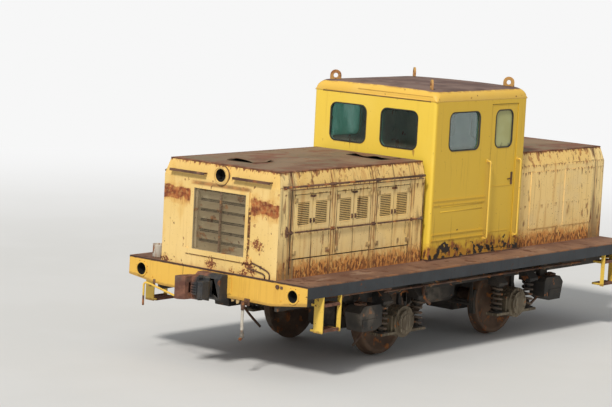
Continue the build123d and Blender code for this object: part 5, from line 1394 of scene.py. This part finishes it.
def cab_seams():
    """Pressed seams below the roof at both ends, a strip round the foot and ribs on the sides."""
    for way, name in NAMED_ENDS:
        x = CAB_FRONT if way > 0 else CAB_REAR
        z = WALL_TOP + 0.004
        seam = Shape()
        out = x + way * 0.002
        # The dark bar is the seam's joint, darkened as painted shadow under the band above it.
        seam.bar([(x, -0.93, z - 0.004), (out, -0.90, z), (out, 0.95, z), (x, 0.98, z - 0.004)], 0.0055, 8, 1)
        seam.bar([(x - way * 0.001, -0.92, z + 0.013), (x - way * 0.001, 0.97, z + 0.013)], 0.010, 10)
        seam.bar([(x - way * 0.002, -0.30, z + 0.075), (x - way * 0.002, 1.00, z + 0.070)], 0.0045, 8)
        seam.piece(f"cab_seam_{name}", [CAB_ROOF, DARK_BAR], "cab_yellow")
    foot = Shape()
    lap = 0.008
    foot.frame(rectangle(CAB_REAR - lap, CAB_FRONT + lap, -CAB_HALF - lap, CAB_HALF + lap),
               rectangle(CAB_REAR, CAB_FRONT, -CAB_HALF, CAB_HALF), "z", DECK, DECK + 0.020)
    foot.piece("cab_foot_strip", [DARK_BAR], "cab_yellow", bevel=0.002)
    ribs = Shape()
    for side in SIDES:
        y = side * (CAB_HALF - 0.004)
        for z in (DECK + 0.735, DECK + 0.665):
            ribs.bar([(CAB_FRONT - 0.22, y, z), (CAB_FRONT - 1.22, y, z)], 0.009, 10)
    ribs.piece("cab_side_ribs", [CAB], "cab_yellow")


def cab_door_fittings():
    """The window's gasket, a handle on its plate and two ribs, all moving with the door."""
    for side, name in NAMED_SIDES:
        low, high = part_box(f"cab_door_{name}")
        face = side * (CAB_HALF - 0.010)
        shape = Shape()
        gasket(shape, DOOR_X, DOOR_WINDOW_W, "y", face, side)
        x, y, z = low.x + 0.07, face + side * 0.008, DECK + 1.05
        shape.block((x - 0.022, face, z - 0.09), (x + 0.022, face + side * 0.006, z + 0.09), 1)
        shape.bar([(x, face, z), (x, y, z), (x + 0.10, y, z - 0.01)], 0.007, 10, 1, bend=0.003)
        for z in (DECK + 0.30, DECK + 0.95):
            shape.block((low.x + 0.09, face, z), (high.x - 0.09, face + side * 0.005, z + 0.012), 2)
        shape.piece(f"cab_door_fittings_{name}", [GASKET, DARK_BAR, CAB], "cab_yellow",
                    f"{name}_cab_door", bevel=0.0015)


def desk_fittings():
    """Six dials and three levers on the control desk."""
    shape = Shape()
    low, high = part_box("control_desk")
    top = high.z
    for y in (-0.60, -0.42, -0.24, 0.24, 0.42, 0.60):
        shape.bar([(high.x - 0.20, y, top - 0.05), (high.x - 0.215, y, top + 0.035)], 0.060, 18, 1)
        shape.bar([(high.x - 0.215, y, top + 0.035), (high.x - 0.217, y, top + 0.040)], 0.050, 18, 2)
    for y in (-0.72, 0.06, 0.72):
        shape.bar([(low.x + 0.10, y, top - 0.10), (low.x + 0.05, y, top + 0.10)], 0.012, 10, 1)
        shape.bar([(low.x + 0.055, y, top + 0.08), (low.x + 0.035, y, top + 0.15)], 0.022, 12, 3)
    shape.piece("desk_fittings", [DESK, DARK_BAR, DIAL, GASKET], "desk_grey")


def cushion(name, low, high, crown_axis):
    """A stuffed pad between two corners, crowned on its broad faces and seamed across."""
    size = [b - a for a, b in zip(low, high)]
    middle = Vector([(a + b) / 2 for a, b in zip(low, high)])
    mesh = bmesh.new()
    bmesh.ops.create_cube(mesh, size=1)
    bmesh.ops.subdivide_edges(mesh, edges=mesh.edges, cuts=9, use_grid_fill=True)
    flat = [axis for axis in range(3) if axis != crown_axis]
    for vertex in mesh.verts:
        u = [2 * c for c in vertex.co]
        reach = [1 - abs(u[axis]) ** 4 for axis in flat]
        fill = (max(reach[0], 0) * max(reach[1], 0)) ** 0.5
        on_face = 1 if abs(u[crown_axis]) > 0.9 else 0
        seam = 1.0 - 0.10 * max(0.0, math.cos(3 * math.pi * u[flat[0]])) ** 6 * on_face
        u[crown_axis] *= (0.62 + 0.38 * fill) * seam
        for axis, other in (flat, flat[::-1]):
            u[axis] *= 0.985 - 0.045 * abs(u[other]) ** 3 - 0.03 * abs(u[crown_axis]) ** 3
        vertex.co = middle + Vector([0.5 * c * s for c, s in zip(u, size)])
    for face in mesh.faces:
        face.smooth = True
    bmesh.ops.recalc_face_normals(mesh, faces=mesh.faces)
    data = bpy.data.meshes.new(name)
    mesh.to_mesh(data)
    mesh.free()
    piece = as_piece(name, data, [VINYL], replaces=["seat_pads"])
    smooth = piece.modifiers.new("round", "SUBSURF")
    smooth.levels = 1
    smooth.render_levels = 1


def seats():
    """A cushion and a back for each of the two seats."""
    low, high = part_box("seat_pads")
    thick, width = 0.08, 0.44
    for side, name in NAMED_SIDES:
        y0, y1 = sorted((side * (high.y - width), side * high.y))
        cushion(f"seat_cushion_{name}", (low.x + thick + 0.004, y0, low.z), (high.x, y1, low.z + thick), 2)
        cushion(f"seat_back_{name}", (low.x, y0, low.z), (low.x + thick, y1, high.z), 0)


# The cab's roof: height at its edge, crown across and rounding of the edge
ROOF_RISE = 0.150
ROOF_CROWN = 0.020
ROOF_EDGE_R = 0.115


def roof_outline(inset, radius):
    """The roof's outline drawn in by an inset, with points along its straight sides too."""
    arc, straight = 6, 14
    points = rounded(0, 0, 2 * (CAB_REACH - inset), 2 * (CAB_HALF - inset), radius, arc)
    outline = []
    for start in range(0, len(points), arc + 1):
        corner = points[start:start + arc + 1]
        x0, y0 = corner[-1]
        x1, y1 = points[(start + arc + 1) % len(points)]
        outline += corner
        outline += [(x0 + (x1 - x0) * n / straight, y0 + (y1 - y0) * n / straight)
                    for n in range(1, straight)]
    return outline


def smooth_cab_roof():
    """The pressed roof, rounded all round its edge and crowned across."""
    upright = ROOF_RISE - ROOF_EDGE_R
    # Inset, height, share of the crown and radius of the corners, from the foot up
    levels = [(0.0, 0.0, 0.0, 0.006), (0.0, upright / 2, 0.0, 0.030), (0.0, upright, 0.0, 0.060)]
    for n in range(1, 9):
        angle = math.radians(90 * n / 8)
        rounding = math.sin(angle)
        levels.append((ROOF_EDGE_R * (1 - math.cos(angle)), upright + ROOF_EDGE_R * rounding, rounding ** 2,
                       0.060 + 0.050 * rounding))
    for inset in (0.20, 0.32, 0.46, 0.60, 0.74, 0.86, 0.96):
        levels.append((inset, ROOF_RISE, 1.0, max(0.110 - (inset - 0.1) * 0.09, 0.03)))
    shape = Shape()
    rings = []
    for inset, height, share, radius in levels:
        rings.append(shape.ring([
            (CAB_MID + x, y, WALL_TOP + height + ROOF_CROWN * (1 - (y / CAB_HALF) ** 2) * share)
            for x, y in roof_outline(inset, radius)]))
    shape.skin(rings, smooth=True)
    shape.cap(rings[-1], smooth=True)
    inner, ceiling = [shape.ring([(CAB_MID + x, y, z) for x, y in roof_outline(inset, 0.030)])
                      for inset, z in ((0.034, WALL_TOP), (0.12, WALL_TOP + 0.060))]
    shape.skin([rings[0], inner, ceiling])
    shape.cap(ceiling)
    shape.piece("cab_roof_skin", [CAB_ROOF], "cab_yellow", replaces=["cab_roof"])


# Running gear and underframe
WHEEL_BACK = 0.72
WHEEL_FACE = WHEEL_BACK + 0.135
WHEEL_MID = (WHEEL_BACK + WHEEL_FACE) / 2
WHEEL_TREAD = 0.5
JOURNAL_END = 1.22

# Outer face of the axleboxes' covers: where a box starts, its depth and its cover's
COVER_Y = 1.04 + 0.19 + 0.045

# Distance from the middle of the axle and radius, along half of a turned wheelset
WHEEL_OUTLINE = [
    (0.0, 0.085), (WHEEL_BACK - 0.045, 0.085), (WHEEL_BACK - 0.028, 0.110), (WHEEL_BACK - 0.028, 0.150),
    (WHEEL_MID - 0.030, 0.185), (WHEEL_MID - 0.016, 0.300), (WHEEL_MID - 0.024, 0.395),
    (WHEEL_BACK + 0.004, 0.430), (WHEEL_BACK, 0.436), (WHEEL_BACK, AXLE_Z - 0.006),
    (WHEEL_BACK + 0.004, AXLE_Z - 0.001), (WHEEL_BACK + 0.012, AXLE_Z), (WHEEL_BACK + 0.020, AXLE_Z - 0.004),
    (WHEEL_BACK + 0.030, WHEEL_TREAD + 0.006), (WHEEL_BACK + 0.040, WHEEL_TREAD + 0.001),
    (WHEEL_BACK + 0.070, WHEEL_TREAD - 0.001), (WHEEL_FACE - 0.006, WHEEL_TREAD - 0.004),
    (WHEEL_FACE, WHEEL_TREAD - 0.010), (WHEEL_FACE, 0.440), (WHEEL_FACE - 0.006, 0.432),
    (WHEEL_MID + 0.026, 0.398), (WHEEL_MID + 0.006, 0.300), (WHEEL_MID + 0.030, 0.190),
    (WHEEL_FACE + 0.020, 0.155), (WHEEL_FACE + 0.028, 0.150), (WHEEL_FACE + 0.028, 0.105),
    (WHEEL_FACE + 0.024, 0.066), (JOURNAL_END, 0.065)]


def wheels():
    """Turned wheels and axles in place of the many-sided ones."""
    for axle, name in zip(AXLES, ("front", "rear")):
        shape = Shape()
        for side in SIDES:
            rings = [shape.ring([(u, side * y, v) for u, v in circle(axle, AXLE_Z, radius, 72)])
                     for y, radius in WHEEL_OUTLINE]
            rings.append(shape.ring([(axle, side * JOURNAL_END, AXLE_Z)]))
            shape.skin(rings, smooth=True)
        bmesh.ops.remove_doubles(shape.mesh, verts=shape.mesh.verts, dist=1e-5)
        piece = shape.piece(f"turned_wheels_{name}", [WHEEL], "wheel_steel", f"{name}_wheelset",
                            replaces=[f"wheelset_{name}"])
        round_edges(piece, 0.003, sharper_than=50)


def springs():
    """Coils of round wire between seats, four to each axle."""
    low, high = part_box("axle_springs")
    wire = 0.017
    places = [(x + dx, side * (high.y - 0.088)) for x in AXLES for dx in (-0.39, 0.39) for side in SIDES]
    data = COILS.grow({"Turns": 5.5, "Radius": 0.070, "Height": high.z - low.z - 1.2 * wire, "Wire": wire,
                       "Finish": SPRING}, [(x, y, low.z + wire * 0.6) for x, y in places])
    for polygon in data.polygons:
        polygon.use_smooth = True
    as_piece("coil_springs", data, [SPRING], replaces=["axle_springs"])
    shape = Shape()
    seats_and_guides = ((low.z, 0.014, 0.095, 20), (high.z - 0.014, 0.014, 0.095, 20),
                        (low.z, 0.10, 0.040, 14), (high.z - 0.12, 0.12, 0.040, 14))
    for x, y in places:
        for z, height, radius, sides in seats_and_guides:
            shape.bar([(x, y, z), (x, y, z + height)], radius, sides)
    shape.piece("spring_seats", [BLACK_FRAME], "spring_steel")


def axlebox_trim():
    """Worn bosses on the covers, ribs on the barrels and a ring of bolts."""
    shape = Shape()
    for axle in AXLES:
        for side in SIDES:
            y = side * COVER_Y
            shape.bar([(axle, y, AXLE_Z), (axle, y + side * 0.008, AXLE_Z)], 0.110, 32)
            for x in (axle - 0.225, axle + 0.225):
                shape.block((x - 0.014, side * 1.05, AXLE_Z - 0.13), (x + 0.014, side * 1.20, AXLE_Z + 0.10))
    shape.piece("axlebox_caps", [AXLEBOX], "axlebox_iron", bevel=0.004)
    for side, name in NAMED_SIDES:
        heads = [(u, side * COVER_Y, v) for axle in AXLES for u, v in circle(axle, AXLE_Z, 0.138, 12)[1::2]]
        bolts(f"cover_bolts_{name}", heads, 0.012, 0.010, (0, side, 0), AXLEBOX)


def sill_ribs():
    """Ribs inside the side channels, and brackets under the deck."""
    shape = Shape()
    for side in SIDES:
        for x in spaced(-3.5, 0.5, 15):
            shape.block((x - 0.005, side * (SIDE_EDGE - 0.066), SILL_LOW + 0.012),
                        (x + 0.005, side * (SIDE_EDGE - 0.012), DECK - 0.016))
        inner, outer = side * RAIL_OUT, side * (SIDE_EDGE - 0.07)
        bracket = [(inner, DECK - 0.016), (outer, DECK - 0.016), (outer, DECK - 0.060), (inner, DECK - 0.155)]
        for x in spaced(-3.4, 0.97, 8):
            shape.plate(bracket, "x", x - 0.006, x + 0.006)
    shape.piece("sill_ribs", [BLACK_FRAME], "sill_blue_grey", bevel=0.001)


def sill_pipes():
    """Two pipes along each side of the frame, on clips, with a branch that drops to the brakes."""
    pipes = Shape()
    z = SILL_LOW - 0.03
    for side in SIDES:
        edge, outer, inner = side * (SIDE_EDGE - 0.10), side * 1.22, side * 1.10
        drop = side * 1.24
        pipes.bar([(3.35, edge, z), (1.95, edge, z), (1.85, outer, z - 0.10), (-3.0, outer, z - 0.10)],
                  0.017, 10, bend=0.08)
        pipes.bar([(2.9, inner, z - 0.02), (0.6, inner, z - 0.02), (0.45, inner, z - 0.12),
                   (-2.6, inner, z - 0.12)], 0.012, 10, 1, bend=0.07)
        for x in spaced(-2.7, 0.7, 7):
            pipes.block((x - 0.012, side * 1.045, z - 0.125), (x + 0.012, side * 1.245, z - 0.112), 1)
        pipes.bar([(0.95, outer, z - 0.10), (0.95, drop, z - 0.26), (0.80, drop, z - 0.36)], 0.021, 10,
                  bend=0.06)
    pipes.piece("sill_pipes", [DARK_BAR, RAIL], "frame_dark")


# Lamp holes and socket of the end beams
LAMP_HOLE_Y = 1.32
LAMP_HOLE_Z = DECK - 0.156
LAMP_HOLE_R = 0.083
SOCKET_Y = 1.05
SOCKET_Z = DECK - 0.070


def lamp_holes(end, name):
    """Rims of the lamp holes with small bolts, and black cups of painted shade behind them and behind the
    socket's hole.
    """
    face = end * BEAM
    rims, cups = Shape(), Shape()
    for side in SIDES:
        y, z = side * LAMP_HOLE_Y, LAMP_HOLE_Z
        hole = circle(y, z, LAMP_HOLE_R)
        rims.frame(circle(y, z, LAMP_HOLE_R + 0.013), hole, "x", face, face + end * 0.006)
        for u, v in circle(y, z, 0.108, 16)[1::2]:
            if v < DECK - 0.05:
                rims.bar([(face, u, v), (face + end * 0.004, u, v)], 0.005, 8, 1)
        # A black cup behind the hole: painted shade.
        cups.frame(hole, circle(y, z, LAMP_HOLE_R - 0.004), "x", face - end * 0.100, face - end * 0.001)
        cups.plate(hole, "x", face - end * 0.104, face - end * 0.100)
    y, z = end * SOCKET_Y, SOCKET_Z
    hole = circle(y, z, 0.028, 20)
    cups.frame(hole, circle(y, z, 0.025, 20), "x", face - end * 0.060, face + end * 0.001)
    cups.plate(hole, "x", face - end * 0.064, face - end * 0.060)
    rims.piece(f"lamp_rims_{name}", [RING_GREY, DARK_BAR], "beam_yellow", bevel=0.0015)
    cups.piece(f"lamp_hole_shade_{name}", [BLACK], "frame_dark")


def beam_socket(end, name):
    """The socket's cap, which stands aside from its hole, and a small box next to it."""
    face, y, z = end * BEAM, end * SOCKET_Y, SOCKET_Z
    socket = Shape()
    socket.bar([(face, y + 0.018, z + 0.004), (face + end * 0.020, y + 0.018, z + 0.004)], 0.024, 16)
    socket.block((face, y + 0.058, z - 0.016), (face + end * 0.010, y + 0.098, z + 0.018))
    socket.piece(f"socket_{name}", [DARK_BAR], "coupler_iron", bevel=0.002)


def beam_plates(end, name):
    """Plates behind the coupler and along the lower edge, with brackets under them and bolts."""
    face = end * BEAM
    plates = Shape()
    plates.block((face, -0.285, BEAM_LOW + 0.055), (face + end * 0.010, 0.285, DECK - 0.020))
    for y0, y1 in ((-0.62, -0.30), (0.30, 0.66)):
        plates.block((face, y0, BEAM_LOW + 0.004), (face + end * 0.005, y1, BEAM_LOW + 0.034))
    plates.piece(f"beam_plates_{name}", [BEAM_YELLOW], "beam_yellow", bevel=0.002)
    brackets = Shape()
    for y, drop in ((0.300, 0.0), (0.385, 0.018), (-0.34, 0.010)):
        tongue = [(y - 0.030, BEAM_LOW + 0.020), (y + 0.030, BEAM_LOW + 0.020),
                  (y + 0.020, BEAM_LOW - 0.030 - drop), (y - 0.014, BEAM_LOW - 0.040 - drop)]
        brackets.plate(tongue, "x", face - end * 0.028, face - end * 0.008)
    brackets.piece(f"beam_brackets_{name}", [HINGE], "frame_dark", bevel=0.002)
    heads = [(face + end * 0.010, y, z) for y in (-0.262, 0.262) for z in (BEAM_LOW + 0.08, DECK - 0.05)]
    heads += [(face, side * 1.12, BEAM_LOW + 0.09) for side in SIDES]
    bolts(f"beam_bolts_{name}", heads, 0.011, 0.009, (end, 0, 0), BEAM_YELLOW)


def beam_trim():
    for end, name in NAMED_ENDS:
        lamp_holes(end, name)
        beam_socket(end, name)
        beam_plates(end, name)


def coupler_trim():
    """Black strips of painted shade for the slots in the lock, and worn bosses and bolts on the teeth, of
    both coupler heads.
    """
    low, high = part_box("front_coupler")
    face, middle = high.x, (low.z + high.z) / 2
    for end, name in NAMED_ENDS:
        detail = Shape()
        near, far = end * (face - 0.1185), end * (face - 0.123)
        # The slots are black strips: painted shade.
        for z in (-0.050, -0.016, 0.018, 0.052):
            detail.block((near, end * -0.022, middle + z - 0.006), (far, end * 0.062, middle + z + 0.006), 1)
        near, far = end * (face - 0.176), end * (face - 0.184)
        for z0, z1 in ((0.096, 0.128), (-0.128, -0.096)):
            detail.block((near, end * -0.052, middle + z0), (far, end * 0.056, middle + z1))
        x, y = end * (face - 0.066), end * 0.182
        for z in (middle - 0.075, middle + 0.075):
            detail.bar([(x, y, z), (x + end * 0.006, y, z)], 0.020, 14)
        x, y = end * (face - 0.255), end * 0.02
        for z0, z1 in ((0.148, 0.162), (-0.162, -0.148)):
            detail.bar([(x, y, middle + z0), (x, y, middle + z1)], 0.034, 18)
        detail.piece(f"coupler_detail_{name}", [COUPLER, BLACK], "coupler_iron", bevel=0.0015)


def lever_bars():
    """The uncoupling lever: a hanging handle, a bend over its bracket and a long slope to the head."""
    out, pivot_z = BEAM + 0.075, DECK - 0.345
    # Along X, to the left and above the pivot, at the front
    route = [(out, -1.200, -0.282), (out, -1.200, 0.012), (out, -1.165, 0.031), (out, -1.080, 0.020),
             (BEAM + 0.222, -0.400, -0.060), (BEAM + 0.258, -0.250, 0.012), (BEAM + 0.262, -0.205, 0.075)]
    for end, name in NAMED_ENDS:
        shape = Shape()
        face, x = end * BEAM, end * out
        shape.bar([(end * u, end * v, pivot_z + rise) for u, v, rise in route], 0.0135, 12, bend=0.035)
        shape.bar([(x, end * -1.200, pivot_z - 0.280), (x, end * -1.200, pivot_z - 0.150)], 0.0140, 12, 1)
        y0, y1 = end * -1.098, end * -1.062
        shape.block((face, y0, pivot_z - 0.008), (end * (BEAM + 0.094), y1, pivot_z), 1)
        shape.block((face, y0, pivot_z - 0.02), (end * (BEAM + 0.010), y1, pivot_z + 0.078), 1)
        shape.piece(f"lever_{name}", [LEVER_YELLOW, DARK_BAR], "step_yellow", replaces=["uncoupling_levers"])


def step_treads():
    """Turned-up edges and raised dots on each tread."""
    shape = Shape()
    dots = []
    for end in ENDS:
        x0, x1 = sorted((end * (TREAD_MID - TREAD_HALF + 0.016), end * (TREAD_MID + TREAD_HALF - 0.016)))
        for side in SIDES:
            for top in (DECK - 0.270, DECK - 0.600):
                shape.block((x0, side * (SIDE_EDGE - 0.018), top - 0.030),
                            (x1, side * (SIDE_EDGE - 0.024), top + 0.014))
                dots += [(x, side * y, top) for x in spaced(x0 + 0.025, 0.048, 7)
                         for y in spaced(SIDE_EDGE - 0.045, -0.040, 4)]
    shape.piece("tread_lips", [TREAD_RUST], "step_yellow", bevel=0.001)
    bolts("tread_dots", dots, 0.007, 0.004, (0, 0, 1), TREAD_RUST)


# Sand boxes: middle of their lids, and where lid and knob start
SAND_X = 2.26
SAND_Y = 1.17
LID_Z = 0.838
KNOB_Z = 0.870


def sand_box_trim():
    """Lids, hatch plates and pipes down to the wheels."""
    shape = Shape()
    for end in ENDS:
        for side in SIDES:
            x, y = end * SAND_X, side * SAND_Y
            shape.bar([(x, y, LID_Z), (x, y, KNOB_Z)], 0.085, 20, 1)
            shape.bar([(x, y, KNOB_Z), (x, y, KNOB_Z + 0.015)], 0.035, 12, 1)
            pipe = [(end * 2.05, side * 1.10, 0.52), (end * 1.99, side * 0.98, 0.36),
                    (end * 1.93, side * 0.82, 0.20)]
            shape.bar(pipe, 0.018, 10, 1, bend=0.05)
            shape.block((end * 2.06, y + side * 0.13, 0.56), (end * 2.36, y + side * 0.138, 0.66))
    shape.piece("sand_box_lids", [BLACK_FRAME, DARK_BAR], "sill_blue_grey", bevel=0.002)


# Brake hoses: how far each point lies before the beam, to the left and below the deck
HOSE_D = 0.038
HOSE_ROUTE = [(0.085, 0.565, 0.385), (0.085, 0.565, 0.495), (0.103, 0.578, 0.610), (0.122, 0.602, 0.718)]


def hose_tube(name, route):
    data = bpy.data.curves.new(f"hose_{name}", "CURVE")
    data.dimensions = "3D"
    data.bevel_depth = HOSE_D / 2
    data.bevel_resolution = 5
    data.use_fill_caps = True
    line = data.splines.new("NURBS")
    line.points.add(len(route) - 1)
    for point, place in zip(line.points, route):
        point.co = (*place, 1)
    line.order_u = 3
    line.use_endpoint_u = True
    line.resolution_u = 16
    data.materials.append(HOSE)
    hose = bpy.data.objects.new(f"hose_{name}", data)
    bpy.context.scene.collection.objects.link(hose)
    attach(hose, CHASSIS)
    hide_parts(f"{name}_brake_hose")
    return hose


def hoses():
    """A hanging hose at each end, with a ferrule on top and a head on the free end."""
    for end, name in NAMED_ENDS:
        route = [Vector((end * (BEAM + out), end * left, DECK - drop)) for out, left, drop in HOSE_ROUTE]
        hose = hose_tube(name, route)
        first, last = route[0], route[-1]
        way = (last - route[-2]).normalized()
        ferrule = Shape()
        ferrule.bar([first + Vector((0, 0, 0.004)), first - Vector((0, 0, 0.045))], 0.024, 14)
        ferrule.piece(f"hose_ferrule_{name}", [DARK_BAR], "coupler_iron")
        head = Shape()
        head.bar([last - way * 0.03, last + way * 0.012], 0.0235, 14)
        head.bar([last + way * 0.008, last + way * 0.065], 0.0285, 14)
        head.bar([last + way * 0.050, last + way * 0.065 + Vector((end * 0.045, 0, -0.020))], 0.021, 12)
        head.piece(f"hose_head_{name}", [GREY_PIPE], "coupler_iron", replaces=["hose_heads"])


def pot():
    """An old pot with a rolled rim, dented, standing on the deck."""
    low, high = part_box("deck_pot")
    x, y = (low.x + high.x) / 2, (low.y + high.y) / 2
    radius = (high.x - low.x) / 2
    outline = [(0.90, 0.0), (0.97, 0.012), (0.97, 0.155), (0.999, 0.163), (0.999, 0.1745), (0.95, 0.1745),
               (0.93, 0.150), (0.90, 0.014)]
    shape = Shape()
    rings = []
    for share, height in outline:
        ring = []
        for angle in turns(32):
            reach = radius * share * (1 - 0.05 * bump(angle, 0.7, 0.35) * bump(height, 0.09, 0.05))
            ring.append((x + reach * math.cos(angle), y + reach * math.sin(angle), low.z + height))
        rings.append(shape.ring(ring))
    shape.skin(rings, smooth=True)
    shape.cap(rings[0])
    shape.cap(rings[-1])
    shape.piece("old_pot", [POT], "pot_white", replaces=["deck_pot"])


def stage_and_light():
    """A pale floor under a soft sun, in a surround that only the camera sees as white."""
    reach = 90.0
    data = bpy.data.meshes.new("floor")
    data.from_pydata([(u, v, 0) for u, v in rectangle(-reach, reach, -reach, reach)], [], [(0, 1, 2, 3)])
    data.materials.append(stage_floor())
    floor = bpy.data.objects.new("floor", data)
    bpy.context.scene.collection.objects.link(floor)

    sun = bpy.data.lights.new("key", "SUN")
    sun.energy = 2.7
    sun.angle = math.radians(9)
    sun.color = (1.0, 0.97, 0.92)
    key = bpy.data.objects.new("key", sun)
    key.rotation_euler = direction(math.radians(19), math.radians(46)).to_track_quat("Z", "Y").to_euler()
    bpy.context.scene.collection.objects.link(key)

    world = bpy.data.worlds.new("surround")
    bpy.context.scene.world = world
    world.use_nodes = True
    world.node_tree.nodes.clear()
    graph = Graph(world.node_tree)
    light = graph.node("ShaderNodeBackground", sockets={"Color": (0.95, 0.98, 1.0), "Strength": 0.46})
    white = graph.node("ShaderNodeBackground", sockets={"Color": (0.93, 0.93, 0.93), "Strength": 1.0})
    camera = graph.node("ShaderNodeLightPath", out="Is Camera Ray")
    both = graph.node("ShaderNodeMixShader", sockets={0: camera, 1: light, 2: white})
    graph.node("ShaderNodeOutputWorld", sockets={"Surface": both})
    bpy.context.scene.view_settings.view_transform = "Standard"


add_camera()
stage_and_light()
coat_carried_nodes()
hoses()
door_leaves()
grille()
headlight_rings()
handrails()
conduits()
nose_trim()
roof_lids()
cab_gaskets()
cab_seams()
cab_door_fittings()
desk_fittings()
seats()
smooth_cab_roof()
wheels()
springs()
axlebox_trim()
sill_ribs()
sill_pipes()
beam_trim()
coupler_trim()
lever_bars()
step_treads()
sand_box_trim()
pot()
softened("front_coupler", COUPLER, 0.014)
softened("rear_coupler", COUPLER, 0.014)
softened("coupler_pockets", COUPLER, 0.010)
softened("lifting_eyes", EYE_RUST, 0.007)
